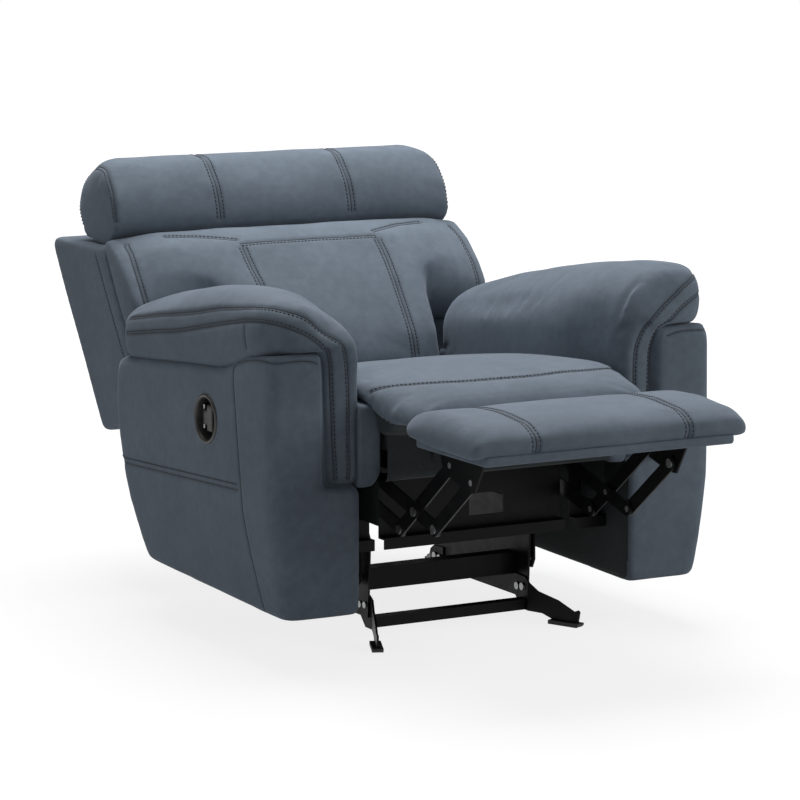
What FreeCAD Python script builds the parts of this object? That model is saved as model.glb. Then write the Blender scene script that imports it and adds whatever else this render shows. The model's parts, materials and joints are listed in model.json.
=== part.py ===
import FreeCAD, Part
import math
import os
import types

import Sketcher

# Glider recliner with its footrest out and its back part way down.
# Frame: origin on the floor under the middle of the box, +Z up, the sitter looks along -Y.
# "right" and "left" are the sitter's own, so right is -X. Lengths are mm, angles are degrees.

DIMENSIONS = (
    # pressed steel
    ("plate", "4"),               # thickness of plates and links
    ("lane_gap", "0.5"),          # space between plates that turn against each other
    ("running_gap", "0.1"),       # radial clearance of a pin that turns
    ("open_gap", "0.3"),          # radial clearance of a pin that closes a loop of links
    ("fixed_gap", "0.05"),        # radial clearance of a pin that is set in its plate
    ("pin_radius", "6"),
    ("head_radius", "9"),
    ("head_depth", "3"),
    # glider base
    ("base_half", "180"),         # inner face of the base side rails
    ("base_middle", "10"),        # the base's own centre, behind the origin
    ("base_reach", "324"),        # from the base's centre to the tip of a foot
    ("rail_beyond", "36"),        # side rail beyond the swing pins
    ("leg_splay", "24"),         # how far a leg turns outwards beyond its rail, degrees
    ("rail_low", "40"),
    ("rail_high", "236"),
    ("bar_inset", "178"),         # from the base's centre to the low cross bars
    ("bar_high", "40"),
    ("bar_tall", "21"),
    ("bar_deep", "25"),
    ("upper_bar_front", "132"),
    ("upper_bar_low", "84"),
    ("upper_bar_tall", "44"),
    ("upper_bar_deep", "34"),
    ("foot_high", "8"),
    ("foot_wide", "22"),
    ("foot_long", "72"),
    # swing links
    ("glide_half", "160"),        # half the distance between the front and rear swing links
    ("glide_high", "212"),        # height of the upper swing pivots
    ("glide_link", "95"),         # length of a swing link between its pins
    ("glide_wide", "30"),
    ("glide_space", "6"),         # side space between rail, swing link and hanger
    # footrest linkage
    ("drive_front", "240"),       # drive tube ahead of the origin
    ("drive_high", "343"),
    ("drive_link", "267"),        # drive link between its end pins
    ("drive_slope", "15"),        # fall of the drive link with the footrest out
    ("cross_at", "187"),          # crossing pin along the drive link
    ("carry_link", "180"),        # front link between its pins
    ("carry_slope", "38"),        # rise of the front and cross links
    ("rear_offset", "70"),        # tail of the cross link behind the crossing pin
    ("tube_radius", "10"),
    ("tube_wall", "2"),
    ("link_wide", "28"),
    # pressed channel across the front, between the arms
    ("channel_low", "218"),       # height of its lip
    ("channel_lip", "22"),        # how far the lip stands forward
    ("channel_flange", "22"),     # drop of the flange under the lip
    ("lane_room", "4"),           # space beside the links' lanes
    # footrest
    ("footrest_rear", "492"),
    ("footrest_long", "286"),
    ("footrest_half", "284"),
    ("footrest_low", "438"),
    ("board_thick", "14"),
    ("pad_thick", "52"),
    ("pad_crown", "12"),
    # bridge between seat and footrest
    ("bridge_front", "392"),      # hinge rod ahead of the origin
    ("bridge_high", "450"),
    ("bridge_half", "264"),
    ("bridge_long", "91"),
    ("bridge_top", "524"),
    ("rod_radius", "4"),
    # seat
    ("seat_front", "370"),
    ("seat_rear", "178"),
    ("seat_half", "240"),
    ("seat_low", "396.2"),
    ("seat_top_front", "522"),
    ("seat_top_rear", "456"),
    ("seat_crown", "20"),
    ("rail_bottom", "356"),
    ("rail_tall", "36"),
    ("rail_thick", "22"),
    ("wire_radius", "1.8"),
    # arms
    ("arm_inner", "300"),
    ("arm_depth", "140"),
    ("arm_web", "18"),
    ("arm_panel", "50"),
    ("arm_front", "364"),
    ("arm_front_panel", "34"),
    ("arm_low", "104"),
    ("arm_top_front", "571"),
    ("arm_top_rear", "515"),
    ("arm_rear", "333"),
    ("arm_rear_high", "436"),
    ("arm_taper", "34"),          # how far the outer face draws in at the floor end
    # arm pads
    ("pillow_room", "24.5"),      # from the outermost link lane to the pad's inner face
    ("pillow_overhang", "6"),    # beyond the arm's outer panel
    ("pillow_front", "376"),
    ("pillow_rear", "316"),
    ("pillow_crest_front", "704"),
    ("pillow_crest_rear", "618"),
    ("limb_low", "346"),
    # release lever
    ("lever_front", "99"),
    ("lever_high", "448"),
    ("bezel_radius", "48"),
    ("cup_radius", "43"),
    ("cup_wall", "3"),
    ("cup_depth", "30"),
    ("lever_pin_back", "30"),
    # back
    ("lean", "34"),               # back frame behind upright
    ("recline_rear", "265"),
    ("recline_high", "375"),
    ("back_rear", "352"),         # foot of the back's front plane
    ("back_high", "422"),
    ("back_half", "417"),
    ("wing_thick", "25"),
    ("post_thick", "25"),
    ("wing_high", "474"),         # top rear corner of a wing along the back
    ("wing_deep", "196"),
    ("shoulder_high", "357"),     # seam between lumbar cushion and head roll along the back
    ("panel_behind", "165"),      # rear panel behind the back's front plane
    ("panel_low", "44"),
    ("panel_tall", "390"),
    ("panel_thick", "14"),
    ("roll_inset", "5"),          # head roll inside the wings' outer faces
    ("lumbar_inset", "7"),
    ("lumbar_core", "222"),
)

doc = FreeCAD.newDocument("glider_recliner")
sheet = doc.addObject("Spreadsheet::Sheet", "dims")
for row, (alias, number) in enumerate(DIMENSIONS, start=1):
    sheet.set(f"A{row}", number)
    sheet.setAlias(f"A{row}", alias)
doc.recompute()


class Size:
    """A size that knows its value and the spreadsheet expression it comes from."""

    def __init__(self, value, text):
        self.value = float(value)
        self.text = text

    def __add__(self, other):
        other = size_of(other)
        return Size(self.value + other.value, f"({self.text} + {other.text})")

    def __radd__(self, other):
        return size_of(other) + self

    def __sub__(self, other):
        other = size_of(other)
        return Size(self.value - other.value, f"({self.text} - {other.text})")

    def __rsub__(self, other):
        return size_of(other) - self

    def __mul__(self, other):
        other = size_of(other)
        return Size(self.value * other.value, f"({self.text} * {other.text})")

    def __rmul__(self, other):
        return size_of(other) * self

    def __truediv__(self, other):
        other = size_of(other)
        return Size(self.value / other.value, f"({self.text} / {other.text})")

    def __neg__(self):
        return Size(-self.value, f"(0 - {self.text})")


def size_of(item):
    """A plain number becomes a size with itself as its expression."""
    if isinstance(item, Size):
        return item
    number = float(item)
    if number < 0:
        return Size(number, f"(0 - {-number})")
    return Size(number, f"{number}")


def cosine(angle):
    return Size(math.cos(math.radians(angle.value)), f"cos({angle.text})")


def sine(angle):
    return Size(math.sin(math.radians(angle.value)), f"sin({angle.text})")


d = types.SimpleNamespace(
    **{alias: Size(sheet.get(alias), f"dims.{alias}") for alias, number in DIMENSIONS}
)

Vector = FreeCAD.Vector
ACROSS = FreeCAD.Rotation(Vector(0, 1, 0), 90)
SIDES = (("right", -1), ("left", 1))
ZERO = size_of(0)
pieces = {}


def keep(label, item):
    item.Label = label
    pieces[label] = item
    return item


def bind(item, **sizes):
    """Tie properties of a document object to spreadsheet expressions."""
    for name, size in sizes.items():
        item.setExpression(name, size_of(size).text)


def bind_place(item, x, y, z):
    for axis, size in (("x", x), ("y", y), ("z", z)):
        item.setExpression(f"Placement.Base.{axis}", size_of(size).text)


def low_end(side, near, far):
    """Smaller x of a slab that lies between near and far from the middle, on one side."""
    if side > 0:
        return size_of(near)
    return -size_of(far)


def sketch_on(body, role, name):
    plane = next(item for item in body.Origin.OriginFeatures if item.Role == role)
    sketch = body.newObject("Sketcher::SketchObject", name)
    sketch.AttachmentSupport = [(plane, "")]
    sketch.MapMode = "FlatFace"
    return sketch


def fix_point(sketch, shape, point, across, up):
    for kind, size in (("DistanceX", across), ("DistanceY", up)):
        size = size_of(size)
        index = sketch.addConstraint(Sketcher.Constraint(kind, -1, 1, shape, point, size.value))
        sketch.setExpression(f"Constraints[{index}]", size.text)


def fix_radius(sketch, shape, radius):
    index = sketch.addConstraint(Sketcher.Constraint("Radius", shape, radius.value))
    sketch.setExpression(f"Constraints[{index}]", radius.text)


def draw_outline(sketch, corners):
    """Closed outline of straight edges, each corner tied to the spreadsheet."""
    corners = [(size_of(across), size_of(up)) for across, up in corners]
    points = [Vector(across.value, up.value, 0) for across, up in corners]
    first = sketch.GeometryCount
    count = len(points)
    for index in range(count):
        sketch.addGeometry(Part.LineSegment(points[index], points[(index + 1) % count]), False)
    for index in range(count):
        following = first + (index + 1) % count
        sketch.addConstraint(Sketcher.Constraint("Coincident", first + index, 2, following, 1))
        fix_point(sketch, first + index, 1, *corners[index])


def draw_hole(sketch, across, up, radius):
    across, up, radius = size_of(across), size_of(up), size_of(radius)
    centre = Vector(across.value, up.value, 0)
    circle = Part.Circle(centre, Vector(0, 0, 1), radius.value)
    shape = sketch.addGeometry(circle, False)
    fix_point(sketch, shape, 3, across, up)
    fix_radius(sketch, shape, radius)


def draw_link(sketch, start, end, radius):
    """Round-ended bar between two pins."""
    points = [Vector(pin[0].value, pin[1].value, 0) for pin in (start, end)]
    run = points[1] - points[0]
    heading = math.atan2(run.y, run.x)
    quarter = math.pi / 2
    reach = radius.value
    side = Vector(-math.sin(heading), math.cos(heading), 0) * reach
    normal = Vector(0, 0, 1)
    far = Part.ArcOfCircle(Part.Circle(points[1], normal, reach), heading - quarter, heading + quarter)
    near = Part.ArcOfCircle(Part.Circle(points[0], normal, reach), heading + quarter, heading + 3 * quarter)
    far_arc = sketch.addGeometry(far, False)
    upper = sketch.addGeometry(Part.LineSegment(points[1] + side, points[0] + side), False)
    near_arc = sketch.addGeometry(near, False)
    lower = sketch.addGeometry(Part.LineSegment(points[0] - side, points[1] - side), False)
    ring = (far_arc, upper, near_arc, lower)
    for index in range(4):
        sketch.addConstraint(Sketcher.Constraint("Tangent", ring[index], 2, ring[(index + 1) % 4], 1))
    sketch.addConstraint(Sketcher.Constraint("Equal", far_arc, near_arc))
    fix_point(sketch, near_arc, 3, *start)
    fix_point(sketch, far_arc, 3, *end)
    fix_radius(sketch, near_arc, radius)


def plate(label, start, thickness, corners, holes=()):
    """Flat plate standing in the Y-Z plane, from start towards +X."""
    body = doc.addObject("PartDesign::Body", label)
    sketch = sketch_on(body, "YZ_Plane", label + "_sketch")
    draw_outline(sketch, corners)
    for across, up, radius in holes:
        draw_hole(sketch, across, up, radius)
    pad = body.newObject("PartDesign::Pad", label + "_pad")
    pad.Profile = sketch
    bind(pad, Length=thickness)
    body.setExpression("Placement.Base.x", size_of(start).text)
    return body


def link(label, start, first, last, wide, holes):
    """Round-ended steel link standing in the Y-Z plane."""
    body = doc.addObject("PartDesign::Body", label)
    sketch = sketch_on(body, "YZ_Plane", label + "_sketch")
    draw_link(sketch, first, last, wide / 2)
    for pin, radius in holes:
        draw_hole(sketch, pin[0], pin[1], radius)
    pad = body.newObject("PartDesign::Pad", label + "_pad")
    pad.Profile = sketch
    bind(pad, Length=d.plate)
    body.setExpression("Placement.Base.x", size_of(start).text)
    return body


def rod(name, radius, near, far, y, z, side=1):
    """Round bar along X between two distances from the middle."""
    item = doc.addObject("Part::Cylinder", name)
    start = low_end(side, near, far)
    item.Placement = FreeCAD.Placement(Vector(start.value, size_of(y).value, size_of(z).value), ACROSS)
    bind(item, Radius=radius, Height=size_of(far) - near)
    bind_place(item, start, y, z)
    return item


def block(name, x, y, z, wide, deep, tall):
    item = doc.addObject("Part::Box", name)
    bind(item, Length=wide, Width=deep, Height=tall)
    bind_place(item, x, y, z)
    return item


def join(name, items):
    fused = doc.addObject("Part::MultiFuse", name)
    fused.Shapes = items
    return fused


def cut(name, base, tool):
    result = doc.addObject("Part::Cut", name)
    result.Base = base
    result.Tool = tool
    return result


def group(label, items):
    """Several equal pieces kept as one node of separate solids."""
    bundle = doc.addObject("Part::Compound", label)
    bundle.Links = items
    return keep(label, bundle)


def pin(name, side, at, steps):
    """Stepped pin along X. Each step is (radius, near, far)."""
    rods = []
    for index, (radius, near, far) in enumerate(steps):
        rods.append(rod(f"{name}_step_{index}", radius, near, far, at[0], at[1], side))
    return join(name, rods)


# Side spaces from the middle outwards: base rail, swing link, hanger, plate, three link lanes.
rail_near = d.base_half
rail_far = rail_near + d.plate
swing_near = rail_far + d.glide_space
swing_far = swing_near + d.plate
hanger_near = swing_far + d.glide_space
hanger_far = hanger_near + d.plate
mech_near = hanger_far
mech_far = mech_near + d.plate
lane_one = mech_far + d.lane_gap
lane_one_far = lane_one + d.plate
lane_two = lane_one_far + d.lane_gap
lane_two_far = lane_two + d.plate
lane_three = lane_two_far + d.lane_gap
lane_three_far = lane_three + d.plate
pillow_inner = lane_three_far + d.pillow_room
lane_spare = 0.4

# Pivot points of the linkages in the Y-Z plane.
glide_front_top = (d.base_middle - d.glide_half, d.glide_high)
glide_rear_top = (d.base_middle + d.glide_half, d.glide_high)
glide_front_low = (glide_front_top[0], d.glide_high - d.glide_link)
glide_rear_low = (glide_rear_top[0], d.glide_high - d.glide_link)
drive_pivot = (-d.drive_front, d.drive_high)
drive_run = (-cosine(d.drive_slope), -sine(d.drive_slope))
carry_run = (-cosine(d.carry_slope), sine(d.carry_slope))


def along(start, run, distance):
    return (start[0] + run[0] * distance, start[1] + run[1] * distance)


knee_pin = along(drive_pivot, drive_run, d.drive_link)
cross_pin = along(drive_pivot, drive_run, d.cross_at)
tail_pin = along(cross_pin, carry_run, -d.rear_offset)
rear_pivot = along(drive_pivot, carry_run, -d.rear_offset)
toe_front = along(knee_pin, carry_run, d.carry_link)
toe_rear = along(cross_pin, carry_run, d.carry_link)
recline_pivot = (d.recline_rear, d.recline_high)

# Base: side rails, legs, cross bars, feet, bolts and the upper swing pins.
rail_reach = d.glide_half + d.rail_beyond
bolt_radius = d.pin_radius * 0.75
leg_near = rail_near - d.plate
leg_bolts = []
for end in (-1, 1):
    for reach, height in ((-20, 62), (0, 64)):
        leg_bolts.append((d.base_middle + end * (rail_reach - 18 + reach), size_of(height)))
for name, side in SIDES:
    reach = rail_reach
    corners = (
        (d.base_middle - reach + 8, d.rail_low),
        (d.base_middle + reach - 8, d.rail_low),
        (d.base_middle + reach, d.rail_high - 40),
        (d.base_middle + reach - 24, d.rail_high),
        (d.base_middle - reach + 24, d.rail_high),
        (d.base_middle - reach, d.rail_high - 40),
    )
    holes = [(at[0], at[1], d.pin_radius + d.fixed_gap) for at in (glide_front_top, glide_rear_top)]
    holes += [(at[0], at[1], bolt_radius + d.fixed_gap) for at in leg_bolts]
    rail = plate(f"base_side_rail_{name}", low_end(side, rail_near, rail_far), d.plate, corners, holes)
    keep(f"base_side_rail_{name}", rail)

bend = rail_reach + 2
leg_middle = rail_near - d.plate / 2


def splayed(label, side, end, thickness, corners):
    """Upright plate that turns outwards about the bend of a leg; corners are measured from the bend."""
    item = plate(label, 0, thickness, corners)
    turn = -side * end
    item.Placement = FreeCAD.Placement(Vector(), FreeCAD.Rotation(Vector(0, 0, turn), d.leg_splay.value))
    x = size_of(side) * leg_middle - cosine(d.leg_splay) * thickness / 2
    y = d.base_middle + size_of(end) * bend - size_of(turn) * sine(d.leg_splay) * thickness / 2
    bind_place(item, x, y, 0)
    return item


for end_name, end in (("front", -1), ("rear", 1)):
    legs = []
    root = rail_reach - 50
    tip = d.base_reach - bend
    for name, side in SIDES:
        profile = (
            (root, d.rail_low + 4),
            (root, d.rail_low + 46),
            (root + 40, d.rail_low + 44),
            (bend, d.rail_low + 36),
            (bend, d.rail_low - 22.4),
            (root + 25, d.rail_low - 22),
        )
        corners = [(d.base_middle + end * across, up) for across, up in profile]
        holes = [(at[0], at[1], bolt_radius + d.fixed_gap) for at in leg_bolts[1 + end:3 + end]]
        start = low_end(side, leg_near, rail_near)
        flat = plate(f"{end_name}_leg_root_{name}", start, d.plate, corners, holes)
        profile = (
            (-1.5, d.rail_low - 22.4),
            (-1.5, d.rail_low + 36),
            (tip - 103, d.rail_low + 20),
            (tip - 55, d.rail_low + 8),
            (tip - 16, d.rail_low - 10),
            (tip - 6, d.rail_low - 6),
            (tip - 2, d.rail_low - 10),
            (tip - 6, d.foot_high),
            (tip - 66, d.foot_high),
            (tip - 92, d.rail_low - 23),
        )
        arm = splayed(f"{end_name}_leg_arm_{name}", side, end, d.plate, [(end * size_of(a), up) for a, up in profile])
        legs.append(join(f"{end_name}_leg_{name}", [flat, arm]))
    group(f"base_{end_name}_legs", legs)

for label, end in (("base_front_bar", -1), ("base_rear_bar", 1)):
    y = d.base_middle + end * d.bar_inset - d.bar_deep / 2
    bar = block(label, -leg_near, y, d.bar_high - d.bar_tall, leg_near * 2, d.bar_deep, d.bar_tall)
    keep(label, bar)

angle_start = -d.upper_bar_front
corners = (
    (angle_start, d.upper_bar_low),
    (angle_start + d.plate, d.upper_bar_low),
    (angle_start + d.plate, d.upper_bar_low + d.upper_bar_tall - d.plate),
    (angle_start + d.upper_bar_deep, d.upper_bar_low + d.upper_bar_tall - d.plate),
    (angle_start + d.upper_bar_deep, d.upper_bar_low + d.upper_bar_tall),
    (angle_start, d.upper_bar_low + d.upper_bar_tall),
)
keep("base_upper_bar", plate("base_upper_bar", -rail_near, rail_near * 2, corners))

feet = []
for end_name, end in (("front", -1), ("rear", 1)):
    for name, side in SIDES:
        tip = d.base_reach - bend
        profile = (
            (tip, d.foot_high),
            (tip, d.foot_high - 4),
            (tip - 4, ZERO),
            (tip - d.foot_long, ZERO),
            (tip - d.foot_long, d.foot_high),
        )
        corners = [(end * across, up) for across, up in profile]
        feet.append(splayed(f"foot_{end_name}_{name}", side, end, d.foot_wide, corners))
group("foot_glides", feet)

bolts = []
for number, at in enumerate(leg_bolts):
    for name, side in SIDES:
        steps = (
            (bolt_radius + 3, leg_near - 4, leg_near),
            (bolt_radius, leg_near - 1, rail_far + 2),
            (bolt_radius + 2, rail_far, rail_far + 3),
        )
        bolts.append(pin(f"base_bolt_{number}_{name}", side, at, steps))
group("base_bolts", bolts)

pins = []
for number, at in enumerate((glide_front_top, glide_rear_top)):
    for name, side in SIDES:
        steps = (
            (d.head_radius, rail_near - d.head_depth, rail_near),
            (d.pin_radius, rail_near - 1, swing_far + 2),
            (d.head_radius, rail_far, swing_near - lane_spare),
            (d.head_radius, swing_far + lane_spare, swing_far + lane_spare + d.head_depth),
        )
        pins.append(pin(f"glide_top_pin_{number}_{name}", side, at, steps))
group("glide_top_pins", pins)

# Swing links that carry the seat unit under the upper pins.
for label, top, low, low_gap in (
    ("front_swing_links", glide_front_top, glide_front_low, d.running_gap),
    ("rear_swing_links", glide_rear_top, glide_rear_low, d.open_gap),
):
    links = []
    for name, side in SIDES:
        holes = ((top, d.pin_radius + d.running_gap), (low, d.pin_radius + low_gap))
        start = low_end(side, swing_near, swing_far)
        links.append(link(f"{label}_{name}", start, top, low, d.glide_wide, holes))
    group(label, links)

# Seat unit: side plates, hangers, pins and the two stretchers to the arms.
stretcher_radius = d.tube_radius + 2
stretchers = (
    ("front_stretcher", (d.base_middle - 70, d.drive_high - 58)),
    ("rear_stretcher", (d.base_middle + 100, d.drive_high - 58)),
)
rail_top = d.rail_bottom + d.rail_tall
rivets = []
for at in (glide_front_low, glide_rear_low):
    for drop in (58, 34):
        rivets.append((at[0] + 6, d.drive_high - drop))
for name, side in SIDES:
    corners = (
        (drive_pivot[0] - 22, rail_top),
        (drive_pivot[0] - 22, d.drive_high - 18),
        (rear_pivot[0] - 14, rear_pivot[1] - 30),
        (d.base_middle - 110, d.drive_high - 81),
        (d.base_middle + 190, d.drive_high - 81),
        (d.recline_rear + 27, d.recline_high - 30),
        (d.recline_rear + 27, d.recline_high + 28),
        (d.recline_rear - 25, d.recline_high + 28),
        (d.recline_rear - 50, rail_top),
    )
    holes = [
        (drive_pivot[0], drive_pivot[1], d.tube_radius + d.running_gap),
        (rear_pivot[0], rear_pivot[1], d.pin_radius + d.fixed_gap),
        (recline_pivot[0], recline_pivot[1], d.pin_radius + 2 + d.fixed_gap),
    ]
    holes += [(at[0], at[1], stretcher_radius + d.fixed_gap) for label, at in stretchers]
    holes += [(at[0], at[1], bolt_radius + d.fixed_gap) for at in rivets]
    start = low_end(side, mech_near, mech_far)
    keep(f"mech_plate_{name}", plate(f"mech_plate_{name}", start, d.plate, corners, holes))

hangers = []
for number, at in enumerate((glide_front_low, glide_rear_low)):
    for name, side in SIDES:
        corners = (
            (at[0] - 20, at[1]),
            (at[0] - 11, at[1] - 18),
            (at[0] + 11, at[1] - 18),
            (at[0] + 20, at[1]),
            (at[0] + 30, d.drive_high - 18),
            (at[0] - 16, d.drive_high - 18),
        )
        holes = [(at[0], at[1], d.pin_radius + d.fixed_gap)]
        for spot in rivets[2 * number:2 * number + 2]:
            holes.append((spot[0], spot[1], bolt_radius + d.fixed_gap))
        start = low_end(side, hanger_near, hanger_far)
        hangers.append(plate(f"hanger_{number}_{name}", start, d.plate, corners, holes))
group("glide_hangers", hangers)

parts = []
for number, at in enumerate(rivets):
    for name, side in SIDES:
        steps = (
            (bolt_radius + 2, hanger_near - 2, hanger_near),
            (bolt_radius, hanger_near - 1, mech_far),
        )
        parts.append(pin(f"hanger_rivet_{number}_{name}", side, at, steps))
group("hanger_rivets", parts)

pins = []
for number, at in enumerate((glide_front_low, glide_rear_low)):
    for name, side in SIDES:
        steps = (
            (d.head_radius, swing_near - lane_spare - d.head_depth, swing_near - lane_spare),
            (d.pin_radius, swing_near - lane_spare - 1, hanger_far + 2),
            (d.head_radius, swing_far + lane_spare, hanger_near),
            (d.head_radius, hanger_far, hanger_far + d.head_depth),
        )
        pins.append(pin(f"glide_low_pin_{number}_{name}", side, at, steps))
group("glide_lower_pins", pins)

pins = []
for number, (at, wider) in enumerate(((rear_pivot, 0), (recline_pivot, 2))):
    for name, side in SIDES:
        radius = d.pin_radius + wider
        steps = (
            (radius + 3, mech_near - d.head_depth, mech_near),
            (radius, mech_near - 1, lane_one_far + 2),
            (radius + 3, lane_one_far + lane_spare, lane_one_far + lane_spare + d.head_depth),
        )
        pins.append(pin(f"mech_pin_{number}_{name}", side, at, steps))
group("mech_pivot_pins", pins)

for label, at in stretchers:
    tube = rod(f"{label}_tube", stretcher_radius, -d.arm_inner, d.arm_inner, at[0], at[1])
    parts = [tube]
    for name, side in SIDES:
        near = d.arm_inner - 5
        parts.append(rod(f"{label}_flange_{name}", stretcher_radius + 18, near, d.arm_inner, at[0], at[1], side))
    keep(label, join(label, parts))

# Pressed channel behind the links: a middle with a window, and an ear to each arm.
channel_front = drive_pivot[0] - 22
channel_rear = channel_front + d.plate
lip_front = channel_front - d.channel_lip


def channel_profile(top):
    return (
        (channel_rear, top),
        (channel_front, top),
        (channel_front, d.channel_low),
        (lip_front, d.channel_low),
        (lip_front, d.channel_low - d.channel_flange),
        (lip_front + d.plate, d.channel_low - d.channel_flange),
        (lip_front + d.plate, d.channel_low - d.plate),
        (channel_rear, d.channel_low - d.plate),
    )


channel_half = mech_near - 0.2
middle = plate("channel_middle", -channel_half, channel_half * 2, channel_profile(d.rail_bottom - 0.5))
window = block("channel_window", -4, channel_front - 2, d.channel_low + 22, 78, d.plate + 4, 44)
parts = [cut("channel_middle_cut", middle, window)]
ear_near = lane_three_far + d.lane_room
ear_far = d.arm_inner - 0.3
tie_far = pillow_inner - 1
tie_low = drive_pivot[1] + 19
for name, side in SIDES:
    start = low_end(side, ear_near, ear_far)
    ear = plate(f"channel_ear_{name}", start, ear_far - ear_near, channel_profile(d.limb_low - 1))
    start = low_end(side, ear_near, tie_far)
    post = block(
        f"channel_post_{name}", start, channel_front, d.limb_low - 6, tie_far - ear_near, d.plate,
        rail_top - d.limb_low + 6,
    )
    start = low_end(side, mech_far + 0.2, tie_far)
    tie = block(
        f"channel_tie_{name}", start, channel_front, tie_low, tie_far - mech_far - 0.2, d.plate, rail_top - tie_low
    )
    parts.append(join(f"channel_side_{name}", [ear, post, tie]))
group("front_channel", parts)

# Wooden seat rails, sinuous springs and the seat cushion.
rail_inner = mech_near - d.rail_thick
rails = []
for name, side in SIDES:
    start = low_end(side, rail_inner, mech_near)
    deep = d.seat_front + d.seat_rear - 12
    rails.append(block(f"seat_rail_{name}", start, -d.seat_front + 4, d.rail_bottom, d.rail_thick, deep, d.rail_tall))
group("seat_side_rails", rails)
rails = []
for name, y in (("front", -d.seat_front + 4), ("rear", d.seat_rear - 30)):
    rails.append(block(f"seat_rail_{name}", -rail_inner, y, d.rail_bottom, rail_inner * 2, d.rail_thick, d.rail_tall))
group("seat_cross_rails", rails)


def spring_path(x, front, rear, z, swing, pitch):
    """Sinuous wire: straight runs across joined by half circles, from front to rear."""
    count = int((rear - front) / pitch)
    pitch = (rear - front) / count
    bend = pitch / 2
    edges = []
    side = 1
    y = front
    start = Vector(x, y, z)
    for number in range(count):
        end = Vector(x + side * swing, y, z)
        edges.append(Part.makeLine(start, end))
        turn = Vector(x + side * swing, y + pitch, z)
        top = Vector(x + side * (swing + bend), y + bend, z)
        edges.append(Part.Arc(end, top, turn).toShape())
        start = turn
        y += pitch
        side = -side
    edges.append(Part.makeLine(start, Vector(x, y, z)))
    return Part.Wire(edges)


wires = []
wire_height = rail_top.value + d.wire_radius.value + 0.2
front_end = -d.seat_front.value + 4 + d.rail_thick.value / 2
rear_end = d.seat_rear.value - 30 + d.rail_thick.value / 2
for place in (-2, -1, 0, 1, 2):
    path = spring_path(place * rail_inner.value * 0.38, front_end, rear_end, wire_height, 9, 27)
    ring = Part.Wire(Part.makeCircle(d.wire_radius.value, path.Vertexes[0].Point, Vector(1, 0, 0)))
    wires.append(path.makePipeShell([ring], True, False))
springs = doc.addObject("Part::Feature", "seat_springs")
springs.Shape = Part.makeCompound(wires)
keep("seat_springs", springs)


def arc(first, middle, last):
    return Part.Arc(Vector(*first), Vector(*middle), Vector(*last)).toShape()


def line(first, last):
    return Part.makeLine(Vector(*first), Vector(*last))


def soft(label, sections):
    """Padded piece: a ruled loft through closed sections of lines and arcs."""
    item = doc.addObject("Part::Feature", label)
    item.Shape = Part.makeLoft([Part.Wire(edges) for edges in sections], True, True)
    return item


def cushion_section(y, half, low, top, crown):
    """Flat underneath, drawn-in sides and a crowned top, across the seat."""
    shoulder = top - crown
    middle = (low + shoulder) / 2
    left = -half
    return [
        line((left + 10, y, low), (half - 10, y, low)),
        arc((half - 10, y, low), (half, y, middle), (half - 14, y, shoulder)),
        arc((half - 14, y, shoulder), (0, y, top), (left + 14, y, shoulder)),
        arc((left + 14, y, shoulder), (left, y, middle), (left + 10, y, low)),
    ]


seat_rear, seat_front = d.seat_rear.value, -d.seat_front.value
top_rear = d.seat_top_rear.value + d.seat_crown.value
top_front = d.seat_top_front.value + d.seat_crown.value
sections = []
for share, drop, inset in (
    (0.0, 22, 12), (0.03, 8, 4), (0.15, 0, 0), (0.5, 0, 0), (0.85, 0, 0), (0.97, 6, 3), (1.0, 18, 10)
):
    y = seat_rear + (seat_front - seat_rear) * share
    top = top_rear + (top_front - top_rear) * share - drop
    sections.append(
        cushion_section(y, d.seat_half.value - inset, d.seat_low.value, top, d.seat_crown.value)
    )
keep("seat_cushion", soft("seat_cushion", sections))

# Bridge pad on its rod ahead of the seat.
hinge = (-d.bridge_front, d.bridge_high)
keep("bridge_rod", rod("bridge_rod", d.rod_radius, -d.bridge_half, d.bridge_half, hinge[0], hinge[1]))
tabs = []
tab_wide = 6
tab_space = 4
for name, side in SIDES:
    near = d.bridge_half * 0.55
    corners = (
        (-d.seat_front + 4, rail_top),
        (-d.seat_front + 4, rail_top - 30),
        (-d.seat_front, rail_top - 30),
        (-d.seat_front - 8, rail_top + 4),
        (hinge[0] - 8, hinge[1] - 4),
        (hinge[0] - 5, hinge[1] + 8),
        (hinge[0] + 8, hinge[1] + 5),
        (-d.seat_front - 2, rail_top + 2),
    )
    holes = [(hinge[0], hinge[1], d.rod_radius + d.fixed_gap)]
    start = low_end(side, near, near + tab_wide)
    tabs.append(plate(f"bridge_tab_{name}", start, tab_wide, corners, holes))
group("bridge_tabs", tabs)


def bridge_section(x, inset):
    rear = hinge[0].value
    front = rear - d.bridge_long.value + inset
    low = d.bridge_high.value - 10
    top = d.bridge_top.value - inset
    return [
        line((x, rear + 11, low), (x, rear + 9, top - 8)),
        arc((x, rear + 9, top - 8), (x, rear - 30, top + 1), (x, front + 10, top - 9)),
        arc((x, front + 10, top - 9), (x, front, top - 24), (x, front + 9, low + 12 + inset)),
        line((x, front + 9, low + 12 + inset), (x, rear + 11, low)),
    ]


half = d.bridge_half.value
sections = [bridge_section(x, inset) for x, inset in (
    (-half, 12), (-half + 12, 4), (-half * 0.8, 0), (0, -1), (half * 0.8, 0), (half - 12, 4), (half, 12)
)]
bridge_pad = soft("bridge_pad", sections)
cutters = [rod("bridge_bore", d.rod_radius + d.running_gap, -d.bridge_half - 5, d.bridge_half + 5, *hinge)]
for name, side in SIDES:
    near = d.bridge_half * 0.55 - tab_space
    start = low_end(side, near, near + tab_wide + 2 * tab_space)
    wide = size_of(tab_wide + 2 * tab_space)
    cutters.append(block(f"bridge_slot_{name}", start, hinge[0] - 48, hinge[1] - 30, wide, 70, 48))
keep("chaise_bridge", cut("chaise_bridge", bridge_pad, join("bridge_cutters", cutters)))

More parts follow.
